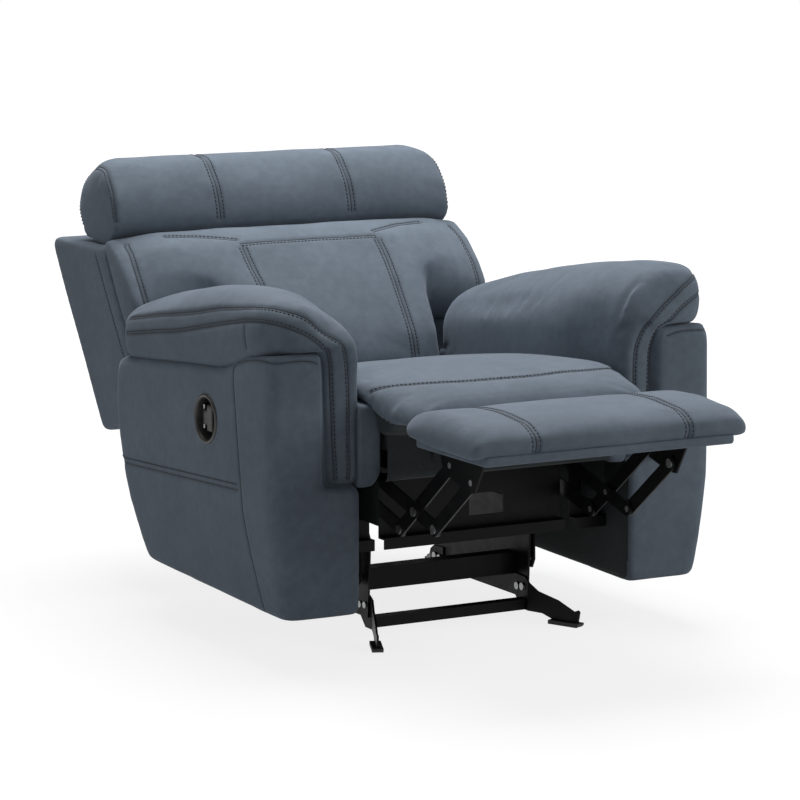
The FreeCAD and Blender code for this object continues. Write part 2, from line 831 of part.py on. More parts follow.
# Footrest linkage: drive links on a tube, rear links, cross links and front links.
tube = rod("drive_tube_outer", d.tube_radius, -lane_one_far, lane_one_far, *drive_pivot)
bore = rod("drive_tube_bore", d.tube_radius - d.tube_wall, -lane_one_far - 1, lane_one_far + 1, *drive_pivot)
keep("drive_tube", cut("drive_tube", tube, bore))
set_hole = d.pin_radius + d.fixed_gap
turn_hole = d.pin_radius + d.running_gap
loop_hole = d.pin_radius + d.open_gap
for name, side in SIDES:
    holes = ((drive_pivot, d.tube_radius + d.fixed_gap), (cross_pin, set_hole), (knee_pin, set_hole))
    start = low_end(side, lane_one, lane_one_far)
    item = link(f"drive_link_{name}", start, drive_pivot, knee_pin, d.link_wide, holes)
    keep(f"drive_link_{name}", item)

for label, ends, holes, near in (
    ("rear_links", (rear_pivot, tail_pin), ((rear_pivot, turn_hole), (tail_pin, set_hole)), lane_one),
    (
        "cross_links",
        (tail_pin, toe_rear),
        ((tail_pin, loop_hole), (cross_pin, turn_hole), (toe_rear, loop_hole)),
        lane_two,
    ),
    ("front_links", (knee_pin, toe_front), ((knee_pin, turn_hole), (toe_front, turn_hole)), lane_two),
):
    links = []
    for name, side in SIDES:
        start = low_end(side, near, near + d.plate)
        links.append(link(f"{label}_{name}", start, ends[0], ends[1], d.link_wide, holes))
    group(label, links)

for label, spots in (("drive_link_pins", (cross_pin, knee_pin)), ("rear_link_pins", (tail_pin,))):
    pins = []
    for number, at in enumerate(spots):
        for name, side in SIDES:
            head = lane_two_far + lane_spare
            steps = (
                (d.pin_radius, lane_one, head + 1),
                (d.head_radius, head, head + d.head_depth),
            )
            pins.append(pin(f"{label}_{number}_{name}", side, at, steps))
    group(label, pins)

# Footrest: brackets, pins, board and pad.
brackets = []
pins = []
for name, side in SIDES:
    low = toe_front[1] - 18
    corners = (
        (toe_rear[0] + 36, d.footrest_low),
        (toe_rear[0] + 28, toe_rear[1] - 2),
        (toe_rear[0] + 12, toe_rear[1] - 18),
        (toe_front[0] + 14, low),
        (toe_front[0] - 14, low),
        (toe_front[0] - 46, d.footrest_low - 18),
        (toe_front[0] - 54, d.footrest_low),
    )
    holes = [(at[0], at[1], set_hole) for at in (toe_front, toe_rear)]
    start = low_end(side, lane_three, lane_three_far)
    brackets.append(plate(f"footrest_bracket_{name}", start, d.plate, corners, holes))
    for number, at in enumerate((toe_front, toe_rear)):
        head = lane_two - lane_spare
        steps = (
            (d.head_radius, head - d.head_depth, head),
            (d.pin_radius, head - 1, lane_three_far),
        )
        pins.append(pin(f"footrest_pin_{number}_{name}", side, at, steps))
group("footrest_brackets", brackets)
group("footrest_pins", pins)

board_half = d.footrest_half - 10
front_edge = -d.footrest_rear - d.footrest_long
board = block(
    "footrest_board", -board_half, front_edge + 8, d.footrest_low,
    board_half * 2, d.footrest_long - 19, d.board_thick,
)
keep("footrest_board", board)


def footrest_section(x, inset):
    rear = -d.footrest_rear.value - inset
    front = rear - d.footrest_long.value + 2 * inset
    low = d.footrest_low.value + d.board_thick.value
    shoulder = low + d.pad_thick.value - inset * 0.6
    middle = (low + shoulder) / 2
    return [
        line((x, rear - 6, low), (x, front + 6, low)),
        arc((x, front + 6, low), (x, front, middle), (x, front + 14, shoulder)),
        arc((x, front + 14, shoulder), (x, (front + rear) / 2, shoulder + d.pad_crown.value), (x, rear - 14, shoulder)),
        arc((x, rear - 14, shoulder), (x, rear, middle), (x, rear - 6, low)),
    ]


half = d.footrest_half.value
sections = [footrest_section(x, inset) for x, inset in (
    (-half, 16), (-half + 14, 5), (-half * 0.8, 0), (0, 0), (half * 0.8, 0), (half - 14, 5), (half, 16)
)]
keep("footrest_pad", soft("footrest_pad", sections))

# Arms: inner board, rails, padded outer panel, padded front panel and the pillow on top.
arm_fall = (d.arm_top_front - d.arm_top_rear) / (d.arm_front + d.arm_rear)


def arm_top(y):
    return d.arm_top_front - arm_fall * (size_of(y) + d.arm_front)


frame_front = -d.arm_front + d.arm_front_panel
frame_far = d.arm_inner + d.arm_depth
panel_far = frame_far + d.arm_panel
rear_top_y = d.arm_rear - 63
arm_corners = (
    (frame_front, d.arm_low),
    (d.arm_rear - 88, d.arm_low + 14),
    (d.arm_rear, d.arm_rear_high),
    (rear_top_y, arm_top(rear_top_y)),
    (frame_front, arm_top(frame_front)),
)
rim = 22
board_far = d.arm_inner + d.arm_web
rail_outlines = (
    ("bottom", (
        (frame_front, d.arm_low),
        (d.arm_rear - 88, d.arm_low + 14),
        (d.arm_rear - 82, d.arm_low + 14 + rim),
        (frame_front, d.arm_low + rim),
    )),
    ("top", (
        (frame_front, arm_top(frame_front) - rim),
        (rear_top_y - 2, arm_top(rear_top_y) - rim),
        (rear_top_y, arm_top(rear_top_y)),
        (frame_front, arm_top(frame_front)),
    )),
    ("rear", (
        (d.arm_rear - 104, d.arm_low + 15 + rim),
        (d.arm_rear - 81, d.arm_low + 15 + rim),
        (d.arm_rear, d.arm_rear_high),
        (rear_top_y + 4, arm_top(rear_top_y) - 6),
        (rear_top_y + 1, arm_top(rear_top_y) - rim - 3),
        (d.arm_rear - rim - 4, d.arm_rear_high - 3),
    )),
)
lever_at = (-d.lever_front, d.lever_high)


def rounded(points, radius):
    """Closed outline with each corner rounded, as lines and arcs."""
    points = [Vector(*point) for point in points]
    count = len(points)
    trims = []
    for index in range(count):
        corner = points[index]
        back = points[index - 1] - corner
        ahead = points[(index + 1) % count] - corner
        back.normalize()
        ahead.normalize()
        half_angle = back.getAngle(ahead) / 2
        reach = radius / math.tan(half_angle)
        bisector = back + ahead
        bisector.normalize()
        middle = corner + bisector * (radius / math.sin(half_angle) - radius)
        trims.append((corner + back * reach, middle, corner + ahead * reach))
    edges = []
    for index in range(count):
        start, middle, end = trims[index]
        edges.append(Part.Arc(start, middle, end).toShape())
        edges.append(Part.makeLine(end, trims[(index + 1) % count][0]))
    return edges


def panel_section(x, inset, lift):
    shape = []
    moves = ((1, 1), (-1, 1), (-1, 0), (-1, -1), (1, -1))
    for (y, z), (along_y, along_z) in zip(arm_corners, moves):
        low = lift if z.value < d.arm_rear_high.value * 0.5 else 0
        shape.append((x, y.value + along_y * inset, z.value + along_z * inset + low))
    return rounded(shape, 24)


def front_section(side, y, inset):
    inner = d.arm_inner.value + inset * 0.5
    outer = panel_far.value - inset - 2
    low = d.arm_low.value + inset * 0.5
    top = arm_top(frame_front).value - inset * 0.5
    knee = d.arm_low.value + 170
    foot = outer - d.arm_taper.value
    corners = ((inner, low), (foot, low), (outer, knee), (outer, top), (inner, top))
    return rounded([(side * x, y, z) for x, z in corners], 10)


def pillow_section(side, y, inset, crest):
    """J-shaped: pillow over the arm and a limb down its inner face."""
    low = arm_top(y).value + 0.6
    outer = panel_far.value + d.pillow_overhang.value - inset
    inner = pillow_inner.value + inset * 0.5
    wall = d.arm_inner.value - 0.6
    top = crest - inset
    limb = d.limb_low.value + inset * 0.6
    nose = low + (top - low) * 0.42
    shoulder = low + (top - low) * 0.78

    def at(x, z):
        return (side * x, y, z)

    return [
        arc(at(outer - 24, low), at(outer, nose), at(outer - 30, shoulder)),
        arc(at(outer - 30, shoulder), at(outer - 104, top), at(inner + 62, top - 14)),
        arc(at(inner + 62, top - 14), at(inner + 16, top - 48), at(inner + 2, top - 110)),
        line(at(inner + 2, top - 110), at(inner, limb + 8)),
        arc(at(inner, limb + 8), at(inner + 4, limb + 2), at(inner + 12, limb)),
        line(at(inner + 12, limb), at(wall, limb)),
        line(at(wall, limb), at(wall, low)),
        line(at(wall, low), at(outer - 24, low)),
    ]


arm_rails = []
for name, side in SIDES:
    board = plate(f"arm_board_{name}", low_end(side, d.arm_inner, board_far), d.arm_web, arm_corners)
    keep(f"arm_board_{name}", board)
    start = low_end(side, board_far, frame_far)
    for part_name, corners in rail_outlines:
        arm_rails.append(plate(f"arm_rail_{part_name}_{name}", start, frame_far - board_far, corners))

    sections = [panel_section(side * x, inset, lift) for x, inset, lift in (
        (frame_far.value, 0, 0),
        (frame_far.value + d.arm_panel.value * 0.55, 2, 60),
        (panel_far.value, 14, 150),
    )]
    panel = soft(f"arm_side_panel_{name}", sections)
    if side < 0:
        hole = rod("lever_hole", d.cup_radius + 0.4, frame_far - 1, panel_far + 5, *lever_at, side)
        panel.Label = "arm_side_panel_blank"
        panel = cut("arm_side_panel_cut", panel, hole)
    keep(f"arm_side_panel_{name}", panel)

    front = -d.arm_front.value
    depth = d.arm_front_panel.value - 0.4
    sections = [front_section(side, y, inset) for y, inset in (
        (front + depth, 0), (front + depth * 0.4, 1), (front, 12)
    )]
    keep(f"arm_front_panel_{name}", soft(f"arm_front_panel_{name}", sections))

    near, far = -d.pillow_front.value, d.pillow_rear.value
    high, low = d.pillow_crest_front.value, d.pillow_crest_rear.value
    sections = []
    for share, inset, fall in (
        (0.0, 16, 0.02), (0.015, 5, 0.01), (0.07, 0, 0.0), (0.3, 0, 0.06),
        (0.62, 0, 0.42), (0.9, 0, 0.86), (0.975, 6, 0.97), (1.0, 22, 1.0),
    ):
        crest = high + (low - high) * fall
        sections.append(pillow_section(side, near + (far - near) * share, inset, crest))
    keep(f"arm_pad_{name}", soft(f"arm_pad_{name}", sections))

group("arm_rails", arm_rails)

# Release lever in its cup, on the outer face of the right arm.
flange = rod("bezel_flange", d.bezel_radius, panel_far, panel_far + 4, *lever_at, -1)
cup = rod("bezel_cup", d.cup_radius, panel_far - d.cup_depth, panel_far + 1, *lever_at, -1)
hollow = rod(
    "bezel_hollow", d.cup_radius - d.cup_wall, panel_far - d.cup_depth + d.cup_wall, panel_far + 6, *lever_at, -1
)
keep("lever_bezel", cut("lever_bezel", join("bezel_body", [flange, cup]), hollow))

lever_x = -panel_far + 9
lever_y = lever_at[0] + d.lever_pin_back
lever_pin_half = 23
axle = doc.addObject("Part::Cylinder", "lever_pin")
bind(axle, Radius=2.5, Height=2 * lever_pin_half)
bind_place(axle, lever_x, lever_y, d.lever_high - lever_pin_half)
keep("lever_pin", axle)

barrel = doc.addObject("Part::Cylinder", "lever_barrel")
bind(barrel, Radius=5, Height=32)
bind_place(barrel, lever_x, lever_y, d.lever_high - 16)
tab = block("lever_tab", lever_x - 3, lever_y - 22, d.lever_high - 16, 6, 22, 32)
blade = block("lever_blade", lever_x - 3, lever_y - 42, d.lever_high - 27, 6, 24, 54)
grip = block("lever_grip", lever_x - 6, lever_y - 46, d.lever_high - 27, 9, 6, 54)
pin_bore = doc.addObject("Part::Cylinder", "lever_bore")
bind(pin_bore, Radius=2.5 + d.running_gap, Height=60)
bind_place(pin_bore, lever_x, lever_y, d.lever_high - 30)
lever_body = join("lever_body", [barrel, tab, blade, grip])
keep("release_lever", cut("release_lever", lever_body, pin_bore))

# Back: brackets, posts, rails, wings, panels and the two cushions, laid out in a leaning frame.
lean_turn = FreeCAD.Rotation(Vector(1, 0, 0), -d.lean.value)
back_place = FreeCAD.Placement(Vector(0, d.back_rear.value, d.back_high.value), lean_turn)


def back_point(x, rear, up):
    """Point of the leaning frame: rear is behind the front plane, up runs along the back."""
    return back_place.multVec(Vector(x, rear, up))


def lean_point(rear, up):
    across = d.back_rear + sine(d.lean) * up + cosine(d.lean) * rear
    height = d.back_high + cosine(d.lean) * up - sine(d.lean) * rear
    return (across, height)


def lean_block(name, x, rear, up, wide, deep, tall):
    item = doc.addObject("Part::Box", name)
    bind(item, Length=wide, Width=deep, Height=tall)
    corner = back_point(size_of(x).value, rear, up)
    item.Placement = FreeCAD.Placement(corner, lean_turn)
    across, height = lean_point(rear, up)
    bind_place(item, x, across, height)
    return item


post_low, post_tall = -30, 350
post_rear, post_deep = 0.3, 40
rail_half = d.back_half - d.wing_thick - 0.2
posts = []
brackets = []
for name, side in SIDES:
    start = low_end(side, lane_one_far + 0.1, lane_one_far + 0.1 + d.post_thick)
    posts.append(lean_block(f"back_post_{name}", start, post_rear, post_low, d.post_thick, post_deep, post_tall))
    pivot_y, pivot_z = recline_pivot
    corners = (
        (pivot_y - 20, pivot_z + 10),
        (pivot_y - 14, pivot_z - 16),
        (pivot_y + 12, pivot_z - 20),
        lean_point(post_rear + post_deep, post_low + 4),
        lean_point(post_rear + post_deep, post_low + 96),
        lean_point(post_rear + 2, post_low + 96),
        lean_point(post_rear + 2, post_low + 30),
    )
    holes = [(pivot_y, pivot_z, d.pin_radius + 2 + d.running_gap)]
    start = low_end(side, lane_one, lane_one_far)
    brackets.append(plate(f"back_bracket_{name}", start, d.plate, corners, holes))
group("back_posts", posts)
group("back_brackets", brackets)

boards = []
for name, rear, up, deep, tall in (
    ("low", post_rear + post_deep + 0.2, post_low + 12, 30, 30),
    ("top", post_rear, post_low + post_tall, post_deep, 26.5),
    ("cap", post_rear, post_low + post_tall + 27, 164, 10.5),
):
    boards.append(lean_block(f"back_board_{name}", -rail_half, rear, up, rail_half * 2, deep, tall))
group("back_cross_boards", boards)
rear_panel = lean_block(
    "back_rear_panel", -rail_half, d.panel_behind.value, d.panel_low.value,
    rail_half * 2, d.panel_thick, d.panel_tall,
)
keep("back_rear_panel", rear_panel)

for name, side in SIDES:
    corners = (
        lean_point(0.3, 4),
        lean_point(0.3, d.shoulder_high - 5),
        lean_point(20, d.shoulder_high),
        lean_point(d.wing_deep, d.wing_high),
        lean_point(d.wing_deep + 8, 34),
        lean_point(74, -14),
        lean_point(34, -12),
    )
    start = low_end(side, d.back_half - d.wing_thick, d.back_half)
    keep(f"back_wing_{name}", plate(f"back_wing_{name}", start, d.wing_thick, corners))


def lean_section(x, outline, radius, inset):
    """Outline given as (ahead of the plane, up along the back), drawn in by inset."""
    middle_ahead = sum(point[0] for point in outline) / len(outline)
    middle_up = sum(point[1] for point in outline) / len(outline)
    points = []
    for ahead, up in outline:
        run = math.hypot(ahead - middle_ahead, up - middle_up)
        share = 1 - inset / run
        spot = back_point(
            x, -(middle_ahead + (ahead - middle_ahead) * share), middle_up + (up - middle_up) * share
        )
        points.append((spot.x, spot.y, spot.z))
    return rounded(points, radius)


CORE_OUTLINE = ((0.2, 28), (146, -32), (158, 24), (140, 170), (114, 285), (52, 357.6), (0.2, 357.6))
SHOULDER_OUTLINE = ((0.2, 126), (50, 124), (110, 176), (126, 222), (106, 290), (50, 357.6), (0.2, 357.6))
WIDE_OUTLINE = ((0.2, 126), (50, 124), (92, 170), (102, 222), (92, 290), (46, 357.6), (0.2, 357.6))
EDGE_OUTLINE = ((0.2, 126), (48, 124), (76, 168), (84, 222), (76, 290), (38, 356), (0.2, 356))
ROLL_OUTLINE = (
    (44, 358), (66, 380), (76, 440), (62, 520), (8, 560), (-62, 566), (-104, 530), (-106, 446), (-18, 358)
)
wide, core = (d.back_half - d.lumbar_inset).value, d.lumbar_core.value
half_sections = (
    (wide, EDGE_OUTLINE, 14), (wide - 14, EDGE_OUTLINE, 4), (wide * 0.82, WIDE_OUTLINE, 0),
    (core + 19, SHOULDER_OUTLINE, 0), (core, CORE_OUTLINE, 0), (core * 0.8, CORE_OUTLINE, 0),
)
sections = [lean_section(-x, outline, 8, inset) for x, outline, inset in half_sections]
sections += [lean_section(x, outline, 8, inset) for x, outline, inset in reversed(half_sections)]
keep("lumbar_cushion", soft("lumbar_cushion", sections))

half = (d.back_half - d.roll_inset).value
sections = [lean_section(x, ROLL_OUTLINE, 16, inset) for x, inset in (
    (-half, 34), (-half + 10, 12), (-half + 34, 0), (0, 0), (half - 34, 0), (half - 10, 12), (half, 34)
)]
keep("head_roll", soft("head_roll", sections))

# Every object is sound before the pieces are written.
doc.recompute()
for item in doc.Objects:
    for word in ("Invalid", "Error"):
        if word in item.State:
            raise RuntimeError(f"{item.Label} is {word.lower()}")
os.makedirs("parts", exist_ok=True)
for label, item in sorted(pieces.items()):
    shape = item.Shape
    if shape.isNull() or not shape.isValid():
        raise RuntimeError(f"{label} has no valid shape")
    if not shape.Solids:
        raise RuntimeError(f"{label} has no solid")
    shape.exportStep(f"parts/{label}.step")
    box = shape.BoundBox
    print(
        f"{label}: {len(shape.Solids)} solid(s), {shape.Volume / 1000:.1f} cm3,"
        f" x {box.XMin:.0f} to {box.XMax:.0f}, y {box.YMin:.0f} to {box.YMax:.0f},"
        f" z {box.ZMin:.0f} to {box.ZMax:.0f}"
    )
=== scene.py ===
# %% [markdown]
# # A glider recliner, dressed over its CAD frame
#
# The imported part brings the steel, the pins and plain solids that stand for the cushions. This
# lesson keeps the steel, gives it a finish, and sews new covers for everything soft. All shapes
# are written in millimetres in the frame of the part and turned into metres when a mesh is made.

# %% The frame and the box it may not outgrow
import json
import math

import bpy
import numpy as np
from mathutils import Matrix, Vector
from mathutils.bvhtree import BVHTree


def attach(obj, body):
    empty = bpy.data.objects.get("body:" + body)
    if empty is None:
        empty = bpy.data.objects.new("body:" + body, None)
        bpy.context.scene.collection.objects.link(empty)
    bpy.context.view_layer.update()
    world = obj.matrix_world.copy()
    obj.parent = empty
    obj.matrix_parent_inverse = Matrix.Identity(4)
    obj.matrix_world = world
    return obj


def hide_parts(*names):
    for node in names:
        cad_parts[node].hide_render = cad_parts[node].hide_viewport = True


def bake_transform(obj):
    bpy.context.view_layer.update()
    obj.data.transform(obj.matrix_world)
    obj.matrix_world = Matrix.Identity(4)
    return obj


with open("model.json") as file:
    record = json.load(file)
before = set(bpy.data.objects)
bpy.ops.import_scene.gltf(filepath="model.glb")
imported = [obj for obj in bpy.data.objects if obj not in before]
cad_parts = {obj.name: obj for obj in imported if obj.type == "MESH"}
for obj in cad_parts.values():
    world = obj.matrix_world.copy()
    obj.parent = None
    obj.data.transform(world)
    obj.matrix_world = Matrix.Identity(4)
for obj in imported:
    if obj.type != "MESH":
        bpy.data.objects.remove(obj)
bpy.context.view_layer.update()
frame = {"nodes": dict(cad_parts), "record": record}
nodes = frame["nodes"]
MM = 0.001
scene = bpy.context.scene

# %% [markdown]
# ## Camera, floor and light
#
# The picture was taken from the sitter's right, a little above arm height, with a long lens. The
# floor is a pale disc that glows slightly for the camera, so that it reads as a white studio floor
# and still takes a soft shadow. One wide lamp above and one to the left of the chair do the rest.

# %% Camera
LENS_MM = 157.5
camera_data = bpy.data.cameras.new("photo_camera")
camera_data.sensor_width = 36.0
camera_data.lens = LENS_MM
camera_data.clip_end = 60.0
camera = bpy.data.objects.new("photo_camera", camera_data)
camera.location = (-3.379, -6.063, 1.532)
camera.rotation_euler = (math.radians(81.0), 0.0, math.radians(-29.04))
scene.collection.objects.link(camera)
scene.camera = camera
scene.view_settings.view_transform = "Standard"


# %% A small kit for node materials
def new_finish(name):
    """Material with an empty tree: returns it with its nodes, links and a Principled shader."""
    finish = bpy.data.materials.new(name)
    finish.use_nodes = True
    tree = finish.node_tree
    tree.nodes.clear()
    output = tree.nodes.new("ShaderNodeOutputMaterial")
    shader = tree.nodes.new("ShaderNodeBsdfPrincipled")
    tree.links.new(shader.outputs[0], output.inputs["Surface"])
    return finish, tree, shader


def noise(tree, scale, detail=3.0, roughness=0.55, stretch=(1.0, 1.0, 1.0)):
    """Noise on Object coordinates; scale counts lumps per metre and stretch packs them closer."""
    place = tree.nodes.new("ShaderNodeTexCoord")
    turn = tree.nodes.new("ShaderNodeMapping")
    turn.inputs["Scale"].default_value = stretch
    tree.links.new(place.outputs["Object"], turn.inputs["Vector"])
    lumps = tree.nodes.new("ShaderNodeTexNoise")
    lumps.inputs["Scale"].default_value = scale
    lumps.inputs["Detail"].default_value = detail
    lumps.inputs["Roughness"].default_value = roughness
    tree.links.new(turn.outputs[0], lumps.inputs["Vector"])
    return lumps.outputs[0]


def ramp(tree, value, stops):
    """Colour ramp: stops are (position, colour)."""
    node = tree.nodes.new("ShaderNodeValToRGB")
    band = node.color_ramp
    while len(band.elements) < len(stops):
        band.elements.new(0.5)
    for element, (position, colour) in zip(band.elements, stops):
        element.position = position
        element.color = (*colour, 1.0)
    tree.links.new(value, node.inputs[0])
    return node.outputs[0]


def spread(tree, value, low, high, start=0.3, end=0.7):
    """Value between start and end, mapped to low and high."""
    node = tree.nodes.new("ShaderNodeMapRange")
    for name, number in (("From Min", start), ("From Max", end), ("To Min", low), ("To Max", high)):
        node.inputs[name].default_value = number
    tree.links.new(value, node.inputs["Value"])
    return node.outputs[0]


def blend_colour(tree, share, first, second, mode="MIX"):
    """Mix of two colours; each may be a socket or a plain colour, the share a socket or number."""
    node = tree.nodes.new("ShaderNodeMix")
    node.data_type = "RGBA"
    node.blend_type = mode
    for socket, value in ((node.inputs[0], share), (node.inputs[6], first), (node.inputs[7], second)):
        if isinstance(value, bpy.types.NodeSocket):
            tree.links.new(value, socket)
        elif isinstance(value, tuple):
            socket.default_value = (*value, 1.0)
        else:
            socket.default_value = value
    return node.outputs[2]


def paint(tree, shader, colour, roughness):
    """Links a colour and a roughness to the shader."""
    tree.links.new(colour, shader.inputs["Base Color"])
    tree.links.new(roughness, shader.inputs["Roughness"])


def raise_bump(tree, shader, layers):
    """Chain of bumps: each layer is (height socket, strength, distance in metres)."""
    normal = None
    for height, strength, distance in layers:
        node = tree.nodes.new("ShaderNodeBump")
        node.inputs["Strength"].default_value = strength
        node.inputs["Distance"].default_value = distance
        tree.links.new(height, node.inputs["Height"])
        if normal is not None:
            tree.links.new(normal, node.inputs["Normal"])
        normal = node.outputs[0]
    tree.links.new(normal, shader.inputs["Normal"])


def one_noise_finish(name, lumps, stops, rough, bump, metallic=0.0):
    """Finish whose single noise drives its colour ramp, its roughness and its bump."""
    finish, tree, shader = new_finish(name)
    grain = noise(tree, *lumps)
    paint(tree, shader, ramp(tree, grain, stops), spread(tree, grain, *rough))
    shader.inputs["Metallic"].default_value = metallic
    raise_bump(tree, shader, ((grain, *bump),))
    return finish


# %% Floor and lamps
FLOOR_RADIUS = 14.0
turns = np.linspace(0.0, 2.0 * np.pi, 96, endpoint=False)
rim = np.stack([np.cos(turns), np.sin(turns), np.zeros_like(turns)], axis=1) * FLOOR_RADIUS
floor_mesh = bpy.data.meshes.new("studio_floor")
floor_mesh.from_pydata(rim.tolist(), [], [list(range(len(rim)))])
floor = bpy.data.objects.new("studio_floor", floor_mesh)
scene.collection.objects.link(floor)

floor_finish, tree, shader = new_finish("studio_white")
shader.inputs["Base Color"].default_value = (0.5, 0.5, 0.5, 1.0)
shader.inputs["Roughness"].default_value = 0.9
glow = tree.nodes.new("ShaderNodeEmission")
where = tree.nodes.new("ShaderNodeNewGeometry")
away = tree.nodes.new("ShaderNodeVectorMath")
away.operation = "LENGTH"
tree.links.new(where.outputs["Position"], away.inputs[0])
tree.links.new(spread(tree, away.outputs["Value"], 1.36, 1.75, 1.2, 4.5), glow.inputs["Strength"])
rays = tree.nodes.new("ShaderNodeLightPath")
seen = tree.nodes.new("ShaderNodeMath")
seen.operation = "MAXIMUM"
tree.links.new(rays.outputs["Is Camera Ray"], seen.inputs[0])
tree.links.new(rays.outputs["Is Glossy Ray"], seen.inputs[1])
part_glow = tree.nodes.new("ShaderNodeMath")
part_glow.operation = "MULTIPLY"
part_glow.inputs[1].default_value = 0.6
tree.links.new(seen.outputs[0], part_glow.inputs[0])
both = tree.nodes.new("ShaderNodeMixShader")
tree.links.new(part_glow.outputs[0], both.inputs[0])
tree.links.new(shader.outputs[0], both.inputs[1])
tree.links.new(glow.outputs[0], both.inputs[2])
tree.links.new(both.outputs[0], tree.nodes["Material Output"].inputs["Surface"])
floor_mesh.materials.append(floor_finish)

world = bpy.data.worlds.new("studio_air")
world.use_nodes = True
scene.world = world
air = world.node_tree
air.nodes.clear()
sky = air.nodes.new("ShaderNodeBackground")
sky.inputs["Color"].default_value = (1.0, 1.0, 1.0, 1.0)
rays = air.nodes.new("ShaderNodeLightPath")
level = air.nodes.new("ShaderNodeMapRange")
level.inputs["To Min"].default_value = 0.17
level.inputs["To Max"].default_value = 1.0
air.links.new(rays.outputs["Is Camera Ray"], level.inputs["Value"])
air.links.new(level.outputs[0], sky.inputs["Strength"])
world_output = air.nodes.new("ShaderNodeOutputWorld")
air.links.new(sky.outputs[0], world_output.inputs["Surface"])


def softbox(name, place, target, size, watts):
    """Square area lamp at place, turned to target."""
    data = bpy.data.lights.new(name, "AREA")
    data.shape = "SQUARE"
    data.size = size
    data.energy = watts
    lamp = bpy.data.objects.new(name, data)
    lamp.location = place
    lamp.rotation_euler = (Vector(target) - Vector(place)).to_track_quat("-Z", "Y").to_euler()
    scene.collection.objects.link(lamp)
    return lamp


softbox("overhead", (0.3, 0.9, 3.4), (0.0, 0.0, 0.5), 2.4, 136.0)
softbox("side", (2.3, -2.2, 1.7), (0.0, -0.1, 0.5), 1.6, 34.0)
softbox("near", (-3.6, -1.2, 1.6), (-0.4, 0.0, 0.4), 2.0, 14.0)
print("studio: floor radius", FLOOR_RADIUS, "m, three soft lamps")

# %% [markdown]
# ## Finishes
#
# The cover is a blue grey brushed microfibre: matt, a little cloudy where the nap lies differently,
# with a faint bright fuzz at grazing angles. A plain colour would look like plastic, so the colour
# drifts with two noises, the nap is a fine bump, and the shader's own sheen gives the fuzz. A vertex
# attribute carries painted shade: it darkens the cloth inside seams, where shade falls in the grooves.

# %% Cover cloth, thread and dust cloth
suede, tree, shader = new_finish("blue_grey_suede")
clouds = noise(tree, 7.0, 3.0, 0.5)
mottle = noise(tree, 48.0, 4.0, 0.6)
nap = noise(tree, 620.0, 2.0, 0.6)
base = ramp(tree, clouds, ((0.30, (0.108, 0.136, 0.168)), (0.72, (0.133, 0.164, 0.202))))
mottled = ramp(tree, mottle, ((0.30, (0.86, 0.87, 0.88)), (0.70, (1.10, 1.09, 1.08))))
base = blend_colour(tree, 1.0, base, mottled, "MULTIPLY")
# Painted shade: the seam attribute blends the cover towards near black inside the pressed seams.
seam_shade = tree.nodes.new("ShaderNodeAttribute")
seam_shade.attribute_name = "seam_shade"
base = blend_colour(tree, seam_shade.outputs["Fac"], base, (0.030, 0.036, 0.046))
paint(tree, shader, base, spread(tree, mottle, 0.78, 0.92))
shader.inputs["Specular IOR Level"].default_value = 0.22
shader.inputs["Sheen Weight"].default_value = 0.22
shader.inputs["Sheen Roughness"].default_value = 0.45
shader.inputs["Sheen Tint"].default_value = (0.75, 0.84, 1.0, 1.0)
raise_bump(tree, shader, ((nap, 0.35, 0.0006), (mottle, 0.20, 0.0010)))

thread = one_noise_finish(
    "dark_thread", (900.0, 1.0, 0.5, (1.0, 1.0, 3.0)),
    ((0.35, (0.012, 0.014, 0.019)), (0.70, (0.040, 0.046, 0.058))), (0.5, 0.75), (0.4, 0.0004),
)

dust_cloth, tree, shader = new_finish("black_dust_cloth")
weave = noise(tree, 480.0, 2.0, 0.7)
folds = noise(tree, 14.0, 3.0, 0.5)
colour = ramp(tree, folds, ((0.30, (0.004, 0.007, 0.008)), (0.75, (0.009, 0.015, 0.017))))
paint(tree, shader, colour, spread(tree, weave, 0.75, 0.95))
raise_bump(tree, shader, ((weave, 0.5, 0.0006), (folds, 0.25, 0.004)))

# %% [markdown]
# The steel is black powder coat: near black, satin, with the slight orange peel of a baked coat and
# a few scuffs. Pins and rivets are zinc plated, but the bridge's rod and tabs are black. Timber is
# stained dark and only shows from below; the boards in the back are wrapped in cover cloth.

# %% Steel, zinc, wood and plastic
powder_coat, tree, shader = new_finish("black_powder_coat")
peel = noise(tree, 330.0, 2.0, 0.5)
scuff = noise(tree, 38.0, 6.0, 0.7)
colour = ramp(tree, scuff, (
    (0.45, (0.0038, 0.0040, 0.0044)), (0.66, (0.0065, 0.0067, 0.0072)), (0.78, (0.020, 0.020, 0.021)),
))
paint(tree, shader, colour, spread(tree, scuff, 0.32, 0.52))
shader.inputs["Specular IOR Level"].default_value = 0.12
raise_bump(tree, shader, ((peel, 0.25, 0.0004),))

zinc = one_noise_finish(
    "zinc_plate", (260.0, 3.0, 0.6, (1.0, 6.0, 1.0)),
    ((0.30, (0.30, 0.305, 0.31)), (0.70, (0.46, 0.465, 0.47))), (0.30, 0.48), (0.15, 0.0003), 1.0,
)

timber, tree, shader = new_finish("sawn_timber")
rings = noise(tree, 26.0, 4.0, 0.6, (6.0, 0.6, 6.0))
fibre = noise(tree, 240.0, 3.0, 0.6, (4.0, 0.4, 4.0))
colour = ramp(tree, rings, ((0.30, (0.040, 0.028, 0.019)), (0.70, (0.068, 0.051, 0.036))))
colour = blend_colour(tree, spread(tree, fibre, 0.0, 0.35), colour, (0.026, 0.018, 0.012))
paint(tree, shader, colour, spread(tree, fibre, 0.6, 0.8))
raise_bump(tree, shader, ((fibre, 0.3, 0.0006),))

